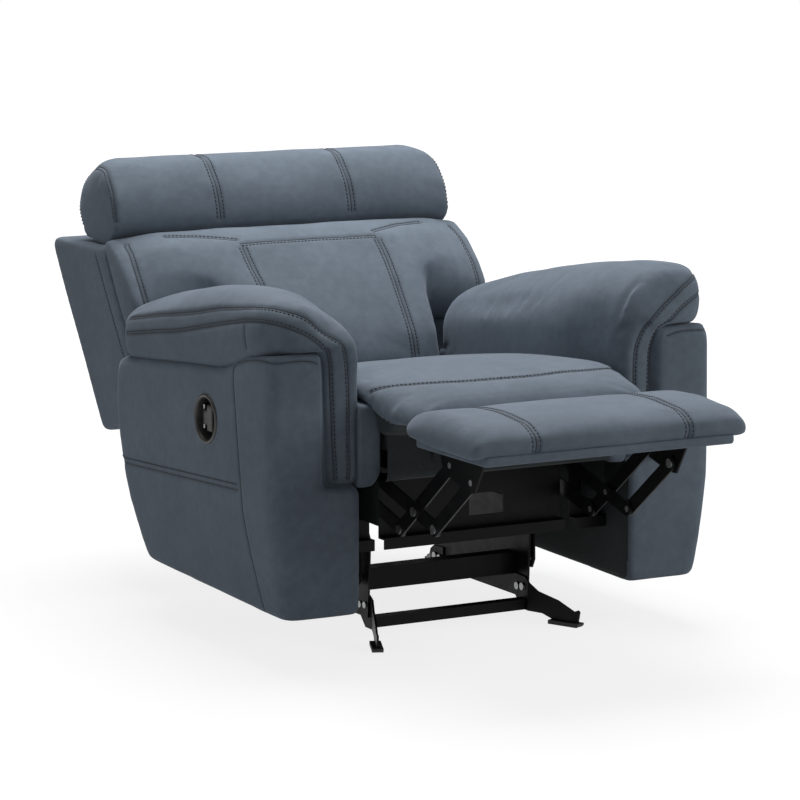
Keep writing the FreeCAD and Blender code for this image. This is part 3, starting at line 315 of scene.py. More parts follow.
bronze, tree, shader = new_finish("dark_bronze_plastic")
sparkle = noise(tree, 1400.0, 2.0, 0.6)
shade = noise(tree, 30.0, 3.0, 0.5)
colour = ramp(tree, shade, ((0.30, (0.034, 0.033, 0.033)), (0.70, (0.052, 0.049, 0.047))))
paint(tree, shader, colour, spread(tree, sparkle, 0.34, 0.50))
shader.inputs["Metallic"].default_value = 0.35
raise_bump(tree, shader, ((sparkle, 0.2, 0.0002),))

rubber = one_noise_finish(
    "foot_rubber", (420.0, 2.0, 0.6),
    ((0.30, (0.014, 0.014, 0.014)), (0.70, (0.030, 0.030, 0.031))), (0.55, 0.8), (0.3, 0.0004),
)

FINISH_OF_SLOT = {
    "upholstery": suede,
    "black_steel": powder_coat,
    "zinc_steel": zinc,
    "frame_wood": timber,
    "bezel_plastic": bronze,
    "foot_plastic": rubber,
}
OWN_FINISH = {
    "bridge_rod": powder_coat,
    "bridge_tabs": powder_coat,
    "back_posts": suede,
    "back_cross_boards": suede,
}
for part in frame["record"]["subparts"]:
    mesh = nodes[part["node"]].data
    mesh.materials.clear()
    mesh.materials.append(OWN_FINISH.get(part["node"], FINISH_OF_SLOT[part["material_slot"]]))
print("finishes:", len(FINISH_OF_SLOT), "slots on", len(nodes), "nodes")

# %% [markdown]
# ## Tools for sewing
#
# Every cushion starts as a stack of closed rings, which is a function of two parameters: how far
# round the ring, and which ring. The rings come from plain corner points whose outline is averaged
# with a bell curve, as foam rounds what the saw left sharp. A voxel remesh then gives even cells,
# the Cloth simulation blows the cover up while its seams are held, and one subdivision smooths it.

# %% Rings, skins and pieces
AROUND = 128
FINE = 1024


def rounded_loop(corners, radius):
    """Closed outline of AROUND points: the polygon, averaged along its length by a bell curve."""
    corners = np.asarray(corners, float)
    legs = np.roll(corners, -1, axis=0) - corners
    run = np.concatenate([[0.0], np.cumsum(np.hypot(legs[:, 0], legs[:, 1]))])
    closed = np.vstack([corners, corners[:1]])
    spots = np.arange(FINE) * run[-1] / FINE
    loop = np.stack([np.interp(spots, run, closed[:, axis]) for axis in (0, 1)], axis=1)
    waves = np.fft.rfftfreq(FINE, d=run[-1] / FINE)
    bell = np.exp(-0.5 * (np.pi * waves * radius) ** 2)
    loop = np.fft.irfft(np.fft.rfft(loop, axis=0) * bell[:, None], n=FINE, axis=0)
    return loop[:: FINE // AROUND]


def smooth_step(value, start, end):
    """0 before start, 1 after end, and a smooth S between them."""
    share = np.clip((np.asarray(value, float) - start) / (end - start), 0.0, 1.0)
    return share * share * (3.0 - 2.0 * share)


def ring_at(y, loop, side=1):
    """Loop of (x, z) stood across the chair at y; a side of -1 mirrors it."""
    return np.stack([side * loop[:, 0], np.full(AROUND, float(y)), loop[:, 1]], axis=1)


def dome(half, radius, count=7):
    """Stations from -half to half with quarter-circle ends: returns places and how far each draws in."""
    angle = np.linspace(0.47 * np.pi, 0.0, count)
    ends = half - radius + radius * np.sin(angle)
    draw = radius * (1.0 - np.cos(angle))
    middle = np.linspace(-(half - radius), half - radius, 25)[1:-1]
    places = np.concatenate([-ends, middle, ends[::-1]])
    insets = np.concatenate([draw, np.zeros_like(middle), draw[::-1]])
    return places, insets


def draw_in(loop, inset):
    """Loop scaled towards its middle by an inset given in mm of its mean radius."""
    centre = loop.mean(axis=0)
    reach = np.hypot(*(loop - centre).T).mean()
    return centre + (loop - centre) * (1.0 - inset / reach)


def skin(rings):
    """Points and faces of the closed skin over a stack of rings, its ends shut by smaller rings."""
    lids = []
    for ring in (rings[0], rings[-1]):
        centre = ring.mean(axis=0)
        lids.append([centre + (ring - centre) * share for share in (0.66, 0.33, 0.05)])
    stack = np.array(lids[0][::-1] + list(rings) + lids[1])
    count, around, _ = stack.shape
    index = np.arange(count * around).reshape(count, around)
    ahead = np.roll(index, -1, axis=1)
    quads = np.stack([index[:-1], ahead[:-1], ahead[1:], index[1:]], axis=-1).reshape(-1, 4)
    faces = quads.tolist() + [index[0, ::-1].tolist(), index[-1].tolist()]
    return stack.reshape(-1, 3), faces


def piece_of(name, points, faces, finish):
    """Object at the origin with a smooth mesh; points are mm, and faces are turned outwards."""
    mesh = bpy.data.meshes.new(name)
    mesh.from_pydata((np.asarray(points) * MM).tolist(), [], faces)
    mesh.validate()
    mesh.calc_loop_triangles()
    corners = np.zeros(len(mesh.loop_triangles) * 3, np.int32)
    mesh.loop_triangles.foreach_get("vertices", corners)
    spots = np.asarray(points, float)[corners].reshape(-1, 3, 3)
    volume = np.einsum("ij,ij->i", spots[:, 0], np.cross(spots[:, 1], spots[:, 2])).sum()
    if volume < 0.0:
        mesh.flip_normals()
    mesh.polygons.foreach_set("use_smooth", np.ones(len(mesh.polygons), bool))
    mesh.materials.append(finish)
    piece = bpy.data.objects.new(name, mesh)
    scene.collection.objects.link(piece)
    return piece


def bake(piece):
    """Puts what the modifiers make into the piece's own mesh."""
    finishes = list(piece.data.materials)
    graph = bpy.context.evaluated_depsgraph_get()
    mesh = bpy.data.meshes.new_from_object(piece.evaluated_get(graph))
    old = piece.data
    piece.modifiers.clear()
    piece.data = mesh
    mesh.name = piece.name
    if not mesh.materials:
        for finish in finishes:
            mesh.materials.append(finish)
    bpy.data.meshes.remove(old)
    mesh.polygons.foreach_set("use_smooth", np.ones(len(mesh.polygons), bool))
    return piece


def points_of(piece):
    """Vertex places in mm."""
    flat = np.zeros(len(piece.data.vertices) * 3, np.float32)
    piece.data.vertices.foreach_get("co", flat)
    return flat.reshape(-1, 3).astype(float) / MM


def normals_of(piece):
    """Vertex normals as one array."""
    flat = np.zeros(len(piece.data.vertices) * 3, np.float32)
    piece.data.vertex_normals.foreach_get("vector", flat)
    return flat.reshape(-1, 3).astype(float)


def move_points(piece, points):
    """Puts places in mm back into the mesh."""
    piece.data.vertices.foreach_set("co", (points * MM).astype(np.float32).ravel())
    piece.data.update()


def middles_of(piece):
    """Face centres in mm."""
    flat = np.zeros(len(piece.data.polygons) * 3, np.float32)
    piece.data.polygons.foreach_get("center", flat)
    return flat.reshape(-1, 3) / MM


def line_faces(piece, chosen):
    """Gives the chosen faces dust cloth in place of the cover."""
    piece.data.materials.append(dust_cloth)
    piece.data.polygons.foreach_set("material_index", chosen.astype(np.int32))


def even_cells(piece, size):
    """Voxel remesh: cells of one size in mm, and overlapping skins become one."""
    cells = piece.modifiers.new("cells", "REMESH")
    cells.mode = "VOXEL"
    cells.voxel_size = size * MM
    cells.use_smooth_shade = True
    return bake(piece)


def smooth_over(piece, rounds):
    """Smooth modifier, applied."""
    relax = piece.modifiers.new("relax", "SMOOTH")
    relax.factor = 0.5
    relax.iterations = rounds
    return bake(piece)


def divide(piece):
    """One level of subdivision, applied."""
    finer = piece.modifiers.new("finer", "SUBSURF")
    finer.levels = 1
    finer.render_levels = 1
    return bake(piece)


# %% Seams as paths, and the filling between them
def run_along(path):
    """Length of the path up to each of its points: the running sum of its steps."""
    return np.concatenate([[0.0], np.cumsum(np.linalg.norm(np.diff(path, axis=0), axis=1))])


def smooth_path(controls, spacing=4.0):
    """Curve through the control points: Catmull-Rom pieces, then equal steps of the spacing in mm."""
    knots = np.asarray(controls, float)
    padded = np.vstack([2 * knots[0] - knots[1], knots, 2 * knots[-1] - knots[-2]])
    share = np.linspace(0.0, 1.0, 40, endpoint=False)[:, None]
    spans = []
    for before, start, end, after in zip(padded[:-3], padded[1:-2], padded[2:-1], padded[3:]):
        spans.append(0.5 * (
            2 * start + (end - before) * share
            + (2 * before - 5 * start + 4 * end - after) * share ** 2
            + (3 * start - before - 3 * end + after) * share ** 3
        ))
    dense = np.vstack(spans + [knots[-1:]])
    run = run_along(dense)
    steps = np.linspace(0.0, run[-1], max(4, int(run[-1] / spacing)))
    return np.stack([np.interp(steps, run, dense[:, axis]) for axis in range(3)], axis=1)


def lay_on(piece, path):
    """Path dropped onto the skin: nearest points, and the outward normals there."""
    graph = bpy.context.evaluated_depsgraph_get()
    tree = BVHTree.FromObject(piece, graph)
    hits = [tree.find_nearest(Vector(point * MM)) for point in path]
    places = np.array([hit[0] for hit in hits]) / MM
    normals = np.array([hit[1] for hit in hits])
    normals = (normals + np.roll(normals, 1, axis=0) + np.roll(normals, -1, axis=0)) / 3.0
    normals[0], normals[-1] = normals[1], normals[-2]
    return places, normals / np.linalg.norm(normals, axis=1)[:, None]


def distance_to(points, paths, reach=45.0):
    """Distance of every point to the nearest path, in mm, capped at reach."""
    nearest = np.full(len(points), reach)
    for path in paths:
        inside = np.all((points > path.min(axis=0) - reach) & (points < path.max(axis=0) + reach), axis=1)
        chosen = np.flatnonzero(inside)
        for block in np.array_split(chosen, max(1, len(chosen) // 4000)):
            gaps = np.linalg.norm(points[block, None, :] - path[None, :, :], axis=2)
            nearest[block] = np.minimum(nearest[block], gaps.min(axis=1))
    return nearest


def near_seams(piece, seams):
    """Places of all points, and their distances to the seams laid on the skin."""
    points = points_of(piece)
    return points, distance_to(points, [lay_on(piece, path)[0] for path, _, _ in seams])


def fill_cover(piece, held, pressure=4.0, cap=18.0, frames=20):
    """Cloth: the skin is blown up while held points stay, and no point moves further than cap mm."""
    before = points_of(piece)
    group = piece.vertex_groups.new(name="held")
    group.add(np.flatnonzero(held).tolist(), 1.0, "REPLACE")
    cloth = piece.modifiers.new("filling", "CLOTH")
    cloth.settings.quality = 5
    cloth.settings.mass = 0.3
    cloth.settings.tension_stiffness = 15.0
    cloth.settings.compression_stiffness = 15.0
    cloth.settings.shear_stiffness = 5.0
    cloth.settings.bending_stiffness = 1.5
    cloth.settings.use_pressure = True
    cloth.settings.uniform_pressure_force = pressure
    cloth.settings.vertex_group_mass = "held"
    cloth.settings.effector_weights.gravity = 0.0
    cloth.collision_settings.use_self_collision = False
    cloth.point_cache.frame_start = 1
    cloth.point_cache.frame_end = frames
    for number in range(1, frames + 1):
        scene.frame_set(number)
    graph = bpy.context.evaluated_depsgraph_get()
    shown = piece.evaluated_get(graph)
    flat = np.zeros(len(before) * 3, np.float32)
    shown.data.vertices.foreach_get("co", flat)
    move = flat.reshape(-1, 3).astype(float) / MM - before
    length = np.linalg.norm(move, axis=1)
    share = cap * np.tanh(length / cap) / np.maximum(length, 1e-6)
    piece.modifiers.clear()
    piece.vertex_groups.clear()
    scene.frame_set(1)
    move_points(piece, before + move * share[:, None])
    print(f"  filled {piece.name}: moved up to {(length * share).max():.1f} mm")
    return piece


def uneven(points, size, length):
    """Slow hand-made waviness: three crossed sine waves of the given height and wave length in mm."""
    x, y, z = (points * (2.0 * np.pi / length)).T
    waves = np.sin(1.00 * x + 0.63 * y + 0.4) + np.sin(0.71 * y - 0.85 * z + 1.9)
    return size * (waves + np.sin(0.93 * z + 0.52 * x + 3.1)) / 3.0


def roughen(piece, size, length):
    """Moves every point along its normal by that waviness."""
    points = points_of(piece)
    move_points(piece, points + normals_of(piece) * uneven(points, size, length)[:, None])


def press(piece, paths, depth, width):
    """Pushes the skin in along paths by a bell of that depth and width in mm, and paints shade into it
    there.
    """
    points = points_of(piece)
    gap = distance_to(points, paths, 4.0 * width)
    bell = np.exp(-((gap / width) ** 2))
    move_points(piece, points - normals_of(piece) * (depth * bell)[:, None])
    # Painted shade: a narrow bell along the paths, written into the attribute that darkens the cover.
    layer = piece.data.attributes.get("seam_shade")
    if layer is None:
        layer = piece.data.attributes.new("seam_shade", "FLOAT", "POINT")
    dark = np.zeros(len(points), np.float32)
    layer.data.foreach_get("value", dark)
    painted_shade = 0.55 * np.exp(-((gap / (0.6 * width)) ** 2))
    layer.data.foreach_set("value", np.maximum(dark, painted_shade).astype(np.float32))


# %% Thread: seam lines and rows of stitches
STITCH_PITCH = 8.2
STITCH_LONG = 5.6
STITCH_THICK = 1.5
LINE_RADIUS = 0.9


def side_of(places, normals):
    """Unit direction across a path, lying in the skin."""
    along = np.gradient(places, axis=0)
    across = np.cross(normals, along)
    return across / np.maximum(np.linalg.norm(across, axis=1), 1e-9)[:, None]


def line_mesh(places, normals, radius):
    """Round line along a path: rings of five points, profile carried along the path."""
    across = side_of(places, normals)
    angle = np.linspace(0.0, 2.0 * np.pi, 5, endpoint=False)[None, :, None]
    spokes = np.cos(angle) * normals[:, None, :] + np.sin(angle) * across[:, None, :]
    rings = places[:, None, :] + radius * spokes
    count, around, _ = rings.shape
    index = np.arange(count * around).reshape(count, around)
    ahead = np.roll(index, -1, axis=1)
    quads = np.stack([index[:-1], index[1:], ahead[1:], ahead[:-1]], axis=-1).reshape(-1, 4).tolist()
    return rings.reshape(-1, 3), quads + [index[0].tolist(), index[-1, ::-1].tolist()]


def stitch_mesh(places, normals):
    """Spindles along a path: each is three rings of five points between two tips."""
    run = run_along(places)
    count = max(1, int(run[-1] / STITCH_PITCH))
    steps = (np.arange(count) + 0.5) * run[-1] / count
    along = np.gradient(places, axis=0)
    spots, ups, ways = (
        np.stack([np.interp(steps, run, field[:, axis]) for axis in range(3)], axis=1)
        for field in (places, normals, along)
    )
    ways /= np.linalg.norm(ways, axis=1)[:, None]
    sides = np.cross(ups, ways)
    angle = np.linspace(0.0, 2.0 * np.pi, 5, endpoint=False)
    template = [(-0.5, 0.0, 0.0)]
    for shift, swell in ((-0.34, 0.75), (0.0, 1.0), (0.34, 0.75)):
        template += [(shift, swell * math.cos(turn), swell * math.sin(turn)) for turn in angle]
    template = np.array(template + [(0.5, 0.0, 0.0)])
    points = (
        spots[:, None, :]
        + ways[:, None, :] * (template[:, 0] * STITCH_LONG)[None, :, None]
        + ups[:, None, :] * (template[:, 1] * STITCH_THICK + 0.35)[None, :, None]
        + sides[:, None, :] * (template[:, 2] * STITCH_THICK)[None, :, None]
    )
    faces = []
    for spoke in range(5):
        turn = (spoke + 1) % 5
        faces.append((0, 1 + turn, 1 + spoke))
        faces.append((1 + spoke, 1 + turn, 6 + turn, 6 + spoke))
        faces.append((6 + spoke, 6 + turn, 11 + turn, 11 + spoke))
        faces.append((11 + spoke, 11 + turn, 16))
    size = len(template)
    shifts = range(0, count * size, size)
    all_faces = [tuple(shift + corner for corner in face) for shift in shifts for face in faces]
    return points.reshape(-1, 3), all_faces


def sew(piece, seams, body, depth=2.4, width=5.0):
    """Presses seams into a cover and lays the thread. A seam is (path, rows, line): rows are offsets
    in mm of stitch rows beside the path, and line says whether the joint itself shows. Thread
    given no body is left unattached."""
    laid = []
    for path, rows, line in seams:
        places, normals = lay_on(piece, path)
        across = side_of(places, normals)
        tracks = [places + across * offset for offset in rows]
        laid.append((places, tracks, line))
    press(piece, [places for places, _, line in laid if line], depth, width)
    tracks = [track for _, group, _ in laid for track in group]
    if tracks:
        press(piece, tracks, 0.45 * depth, 0.7 * width)
    points, faces = [], []
    total = 0

    def add(part_points, part_faces):
        """Appends one mesh, its face numbers shifted past the points already there."""
        nonlocal total
        points.append(part_points)
        faces.extend([tuple(corner + total for corner in face) for face in part_faces])
        total += len(part_points)

    for places, group, line in laid:
        if line:
            add(*line_mesh(*lay_on(piece, places), LINE_RADIUS))
        for track in group:
            add(*stitch_mesh(*lay_on(piece, track)))
    threads = piece_of(piece.name + "_stitching", np.vstack(points), faces, thread)
    if body is not None:
        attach(threads, body)
    print(f"  sewed {piece.name}: {len(seams)} seams, {total} points of thread")
    return threads


def make_up(piece, held, cap, waves, seams, body, depth=2.4):
    """Fills a cover, divides it, roughens it by waves of a height and length in mm, and sews it."""
    fill_cover(piece, held, cap=cap)
    divide(piece)
    roughen(piece, *waves)
    return sew(piece, seams, body, depth)


DOUBLE = ((-8.0, 8.0), True)


# %% [markdown]
# ## The back
#
# The whole back leans 34 degrees. Its pieces are drawn in a leaning frame: ahead is how far a point
# stands in front of the back's plane, up runs along it. The outside back is a tight box of cloth over
# boards; the lumbar cushion and the head roll are soft, so they are filled by simulation. They could
# be sculpted by hand, but rings from corner lists keep the measured outline.

# %% Leaning frame
LEAN = math.radians(34.0)
BACK_FOOT = np.array([352.0, 422.0])


def leaning(x, ahead, up):
    """Point of the leaning frame in the part's own frame; arguments are arrays or numbers."""
    x, ahead, up = np.broadcast_arrays(*(np.asarray(value, float) for value in (x, ahead, up)))
    y = BACK_FOOT[0] - math.cos(LEAN) * ahead + math.sin(LEAN) * up
    z = BACK_FOOT[1] + math.sin(LEAN) * ahead + math.cos(LEAN) * up
    return np.stack([x, y, z], axis=-1)


def leaning_rings(places, insets, outline, radius):
    """Rings across the back: outline(x) gives corners as (ahead, up) at each place."""
    rings = []
    for x, inset in zip(places, insets):
        loop = draw_in(rounded_loop(outline(x), radius), inset)
        rings.append(leaning(x, loop[:, 0], loop[:, 1]))
    return np.array(rings)


# %% Outside back
SHELL_HALF = 419.0
SHELL_OUTLINE = (
    (-0.5, 2.0), (-0.5, 352.0), (-20.0, 362.0), (-208.0, 486.0),
    (-222.0, 478.0), (-222.0, 28.0), (-76.0, -21.0), (-34.0, -18.0),
)
places, insets = dome(SHELL_HALF, 12.0)
shell = piece_of(
    "outside_back", *skin(leaning_rings(places, insets, lambda x: SHELL_OUTLINE, 12.0)), suede
)
even_cells(shell, 8.0)
divide(shell)
roughen(shell, 0.8, 190.0)
shell_seams = []
for side in (-1, 1):
    edge = SHELL_HALF * side
    front = leaning(edge, (-30.0, -32.0, -34.0), (12.0, 180.0, 348.0))
    shell_seams.append((smooth_path(front), (0.0,), False))
    rear = leaning(edge - side * 10.0, (-221.0, -221.0, -217.0), (44.0, 240.0, 470.0))
    shell_seams.append((smooth_path(rear), (), True))
sew(shell, shell_seams, "back", depth=1.6)
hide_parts("back_wing_right", "back_wing_left", "back_rear_panel")
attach(shell, "back")
print("outside back:", len(shell.data.polygons), "faces")

# %% Lumbar cushion
LUMBAR_HALF = 417.0
CORE = np.array([
    (2, -10), (104, -66), (140, -48), (156, 24), (140, 170), (112, 284), (50, 354), (2, 357)
], float)
WIDE = np.array([
    (2, 124), (40, 122), (76, 140), (104, 178), (112, 226), (98, 292), (46, 353), (2, 357)
], float)
EDGE = np.array([
    (2, 124), (36, 122), (62, 138), (76, 172), (74, 222), (58, 290), (26, 352), (2, 357)
], float)
FACE_CORNERS = np.array([0, 0, 0, 0, 1, 1, 1, 1], float)[:, None]


def lumbar_outline(x):
    """Corner list from the deep middle to the shallow sides; the foot steps up sooner than the face."""
    foot = smooth_step(abs(x), 198.0, 256.0)
    face = smooth_step(abs(x), 150.0, 340.0)
    edge = smooth_step(abs(x), 300.0, 418.0)
    side = WIDE + (EDGE - WIDE) * edge
    return CORE + (side - CORE) * (foot + (face - foot) * FACE_CORNERS)


places, insets = dome(LUMBAR_HALF, 12.0)
stations = np.unique(np.concatenate([places, np.linspace(-290.0, 290.0, 59)]))
insets = np.interp(stations, places, insets)
lumbar = piece_of(
    "lumbar_pillow", *skin(leaning_rings(stations, insets, lumbar_outline, 18.0)), suede
)
even_cells(lumbar, 7.0)


def lumbar_line(x, up, ahead=110.0):
    """Control points of a seam from its places across and up, just ahead of the cover."""
    return leaning(np.asarray(x, float), ahead, np.asarray(up, float))


lumbar_top = lumbar_line((-160, -80, 0, 80, 160), (281, 283, 284, 283, 281))
lumbar_seams = [(smooth_path(lumbar_top), (-7.0,), True)]
for side in (-1, 1):
    down = lumbar_line(side * np.array([160.0, 157.0, 152.0, 146.0]), (281.0, 190.0, 90.0, -30.0), 150.0)
    lumbar_seams.append((smooth_path(down), *DOUBLE))
    out = lumbar_line(side * np.array([160.0, 190.0, 240.0, 310.0]), (281.0, 300.0, 326.0, 346.0), 90.0)
    lumbar_seams.append((smooth_path(out), (7.0 * side,), True))
    edge = lumbar_line((399.0 * side, 399.0 * side, 396.0 * side), (348.0, 240.0, 140.0), 84.0)
    lumbar_seams.append((smooth_path(edge), (-8.0 * side,), True))
start, seam_gap = near_seams(lumbar, lumbar_seams)
ahead_of = (BACK_FOOT[0] - start[:, 1]) * math.cos(LEAN) + (start[:, 2] - BACK_FOOT[1]) * math.sin(LEAN)
held = (seam_gap < 6.0) | (ahead_of < 14.0)
make_up(lumbar, held, 16.0, (1.2, 130.0), lumbar_seams, "back")
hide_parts("lumbar_cushion")
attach(lumbar, "back")
print("lumbar pillow:", len(lumbar.data.polygons), "faces")

# %% Head roll
ROLL_HALF = 399.0
ROLL_TOP_ROUND = 66.0
ROLL_SIDE_ROUND = 18.0
ROLL_OUTLINE = np.array([
    (26, 357), (56, 368), (74, 432), (64, 510), (12, 552), (-62, 560), (-106, 526), (-108, 446), (-20, 357)
], float)


def rounding(depth, radius):
    """How far a corner of that radius draws in at a depth below the end face."""
    inside = np.clip(radius - depth, 0.0, radius)
    return radius - np.sqrt(radius ** 2 - inside ** 2)


def roll_ring(x):
    """Outline of the roll, lowered and thinned towards its ends but resting on the lumbar cushion."""
    depth = ROLL_HALF - abs(x)
    loop = rounded_loop(ROLL_OUTLINE, 26.0)
    lower = 1.0 - float(rounding(depth, ROLL_TOP_ROUND)) / 215.0
    thinner = 1.0 - float(rounding(depth, ROLL_SIDE_ROUND)) / 92.0
    ahead = -16.0 + (loop[:, 0] + 16.0) * thinner
    up = 357.0 + (loop[:, 1] - 357.0) * lower
    return leaning(x, ahead, up)


ends = ROLL_HALF - np.array([0.5, 2.0, 5.0, 9.0, 14.0, 20.0, 28.0, 38.0, 50.0, 64.0])
stations = np.concatenate([-ends, np.linspace(-330.0, 330.0, 23), ends[::-1]])
roll = piece_of("head_roll_pillow", *skin(np.array([roll_ring(x) for x in stations])), suede)
even_cells(roll, 6.5)
roll_seams = []
wrap = ROLL_OUTLINE[1:8]
for x in (-156.0, 156.0):
    roll_seams.append((smooth_path(leaning(x, wrap[:, 0], wrap[:, 1])), *DOUBLE))
for x in (-392.0, 392.0):
    ring = draw_in(wrap, 9.0)
    roll_seams.append((smooth_path(leaning(x, ring[:, 0], ring[:, 1])), (-7.0 * np.sign(x),), True))
start, seam_gap = near_seams(roll, roll_seams)
up_of = (start[:, 1] - BACK_FOOT[0]) * math.sin(LEAN) + (start[:, 2] - BACK_FOOT[1]) * math.cos(LEAN)
held = (seam_gap < 6.0) | (up_of < 370.0)
make_up(roll, held, 12.0, (0.9, 150.0), roll_seams, "back")
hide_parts("head_roll")
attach(roll, "back")
print("head roll:", len(roll.data.polygons), "faces")

# %% [markdown]
# ## Seat, bridge and footrest
#
# The seat cushion runs on over the bridge, the flap that closes the space in front of the seat, so
# one cover spans both, as two separate cushions would part when the bridge folds. Its rings stand
# across the chair and follow each other from the back of the seat to the front of the bridge. Beyond
# the arms' inner faces the cover widens like a shelf; under the bridge only a keel reaches down to
# the hinge rod.

# %% Seat and bridge
SEAT_STATIONS = np.array([
    186, 182, 174, 160, 120, 60, 0, -60, -140, -200, -230, -260, -300, -340, -362, -376, -390, -410, -440,
    -462, -476, -484, -488,
], float)


def along_seat(*pairs):
    """Value along the seat from (y, value) pairs given from the front to the rear."""
    places, values = zip(*pairs)
    return np.interp(SEAT_STATIONS, places, values)


SEAT_HALF = along_seat(
    (-488, 262), (-474, 266), (-455, 270), (-403, 273), (-340, 284), (-300, 282), (-250, 258),
    (-215, 245), (160, 244),
    (186, 236),
)
SEAT_KEEL = along_seat(
    (-488, 205), (-430, 235), (-414, 267), (-372, 267), (-362, 238), (-215, 240), (186, 236),
)
SEAT_LOW = along_seat(
    (-488, 472), (-470, 456), (-420, 444), (-400, 440), (-378, 440), (-360, 399), (186, 399),
)
SEAT_SHELF = along_seat(
    (-488, 470), (-440, 471), (-403, 479), (-328, 503), (-300, 505), (-250, 484), (-215, 430), (186, 425),
)
SEAT_HIGH = along_seat(
    (-488, 492), (-480, 502), (-462, 511), (-430, 520), (-390, 528), (-340, 535), (-290, 539),
    (-230, 536), (-140, 526),
    (0, 504), (120, 482), (166, 472), (180, 462), (186, 446),
)
SEAT_CROWN = along_seat((-488, 2), (-440, 5), (-300, 8), (100, 8), (186, 2))
rings = []
for y, half, keel, low, shelf, high, crown in zip(
    SEAT_STATIONS, SEAT_HALF, SEAT_KEEL, SEAT_LOW, SEAT_SHELF, SEAT_HIGH, SEAT_CROWN
):
    right = (
        (keel, low), (min(keel + 4, half), max(shelf - 10, low + 2)), (half, shelf), (half - 2, high - 24),
        (half - 12, high - 9), (half - 34, high - 1), (0.5 * half, high + 0.8 * crown),
    )
    corners = right + ((0, high + crown),) + tuple((-x, z) for x, z in right[::-1])
    loop = rounded_loop(corners, 15.0)
    rings.append(ring_at(y, loop))
seat = piece_of("seat_cover", *skin(np.array(rings)), suede)
even_cells(seat, 6.5)
row = np.array([
    (-276, -352, 518), (-238, -372, 532), (-140, -396, 540), (0, -404, 542), (140, -396, 540),
    (238, -374, 532),
    (276, -354, 518),
], float)
seat_seams = [(smooth_path(row), (5.0,), True)]
start, seam_gap = near_seams(seat, seat_seams)
low_here = np.interp(start[:, 1], SEAT_STATIONS[::-1], SEAT_LOW[::-1])
held = (seam_gap < 6.0) | (start[:, 2] < low_here + 8.0) | (start[:, 1] > 170.0)
seat_threads = make_up(seat, held, 12.0, (1.2, 150.0), seat_seams, None)
middles = middles_of(seat)
shelf_here = np.interp(middles[:, 1], SEAT_STATIONS[::-1], SEAT_SHELF[::-1])
under = (middles[:, 1] < -250.0) & (middles[:, 2] < shelf_here - 5.0)
line_faces(seat, under)
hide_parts("seat_cushion", "chaise_bridge")
for piece in (seat, seat_threads):
    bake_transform(piece)
print("seat and bridge:", len(seat.data.polygons), "faces")

# %% Footrest pad and its wrapped board
PAD_HALF = 297.0
PAD_OUTLINE = np.array([
    (-494, 453), (-768, 450), (-781, 464), (-778, 486), (-745, 505), (-650, 515), (-570, 511),
    (-514, 500), (-487, 478)
], float)


def pad_ring(x):
    """Pad outline at x: towards the ends the top sinks to the board and the corners round in plan."""
    depth = PAD_HALF - abs(x)
    loop = rounded_loop(PAD_OUTLINE, 14.0)
    top = 1.0 - 0.66 * float(rounding(depth, 40.0)) / 40.0
    rear = float(rounding(depth, 62.0))
    front = float(rounding(depth, 18.0))
    share = (loop[:, 0] + 781.0) / 294.0
    y = loop[:, 0] - rear * share + front * (1.0 - share)
    z = 452.0 + (loop[:, 1] - 452.0) * top
    z += 0.26 * rear * np.clip(share, 0.0, 1.0) ** 3 * np.clip((500.0 - z) / 48.0, 0.0, 1.0)
    return np.stack([np.full(AROUND, x), y, z], axis=1)


ends = PAD_HALF - np.array([0.5, 2.0, 5.0, 9.0, 14.0, 20.0, 28.0, 38.0, 50.0, 62.0])
stations = np.concatenate([-ends, np.linspace(-220.0, 220.0, 19), ends[::-1]])
rings = [pad_ring(x) for x in stations]
pad = piece_of("footrest_pillow", *skin(np.array(rings)), suede)
even_cells(pad, 5.5)
pad_seams = []
for x in (-164.0, 164.0):
    wrap = np.array([
        (x, -496, 500), (x, -540, 514), (x, -640, 520), (x, -742, 514), (x, -778, 498),
        (x, -786, 470), (x, -778, 453)
    ], float)
    pad_seams.append((smooth_path(wrap), *DOUBLE))
start, seam_gap = near_seams(pad, pad_seams)
held = (seam_gap < 6.0) | (start[:, 2] < 457.0)
make_up(pad, held, 9.0, (0.8, 120.0), pad_seams, "footrest")
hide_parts("footrest_pad")
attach(pad, "footrest")

BOARD_OUTLINE = ((-518, 437), (-772, 437), (-776, 444), (-774, 455), (-518, 455), (-515, 446))
places, insets = dome(266.0, 6.0)
rings = []
for x, inset in zip(places, insets):
    loop = draw_in(rounded_loop(BOARD_OUTLINE, 4.0), inset * 0.3)
    rings.append(np.column_stack([np.full(AROUND, x), loop]))
board = piece_of("footrest_wrapped_board", *skin(np.array(rings)), suede)
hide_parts("footrest_board")
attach(board, "footrest")
print("footrest:", len(pad.data.polygons), "faces")

# %% [markdown]
# ## Arms
#
# An arm is a tall padded box with a pillow on top. The cover of the box wraps round the front, with a
# plain seam down the side and a double seam across it. The pillow hangs over the front and runs down
# in a limb that lies in a step of the box, beside the seat; two rows of stitches mark a strip along
# the pillow's side, over its front and down the limb. Both arms are mirrored, but each pillow has its
# own slump, and only the right box has the pocket for the lever. Pillow and limb are two stacks of
# rings that the voxel remesh fuses, which is simpler than one grid that forks.

# %% Arm box
ARM_INNER = 299.0
ARM_OUTER = 491.0
ARM_FRONT = -367.0
LIMB_STEP = -336.0
LIMB_LOW = 337.0
LIMB_EDGE = {-1: 382.0, 1: 364.0}
LEVER_AT = np.array([-99.0, 448.0])
UPRIGHT = np.array([
    (498, -207, 576), (498, -213, 540), (498, -240, 360), (498, -262, 220), (480, -276, 140),
    (466, -281, 100),
], float)
LEVEL = np.array([(498, -230, 330), (498, -60, 321), (498, 150, 310), (498, 326, 301)], float)
BROW = np.array([
    (488, -214, 576), (494, -300, 590), (480, -366, 590), (420, -371, 590), (386, -371, 582),
], float)


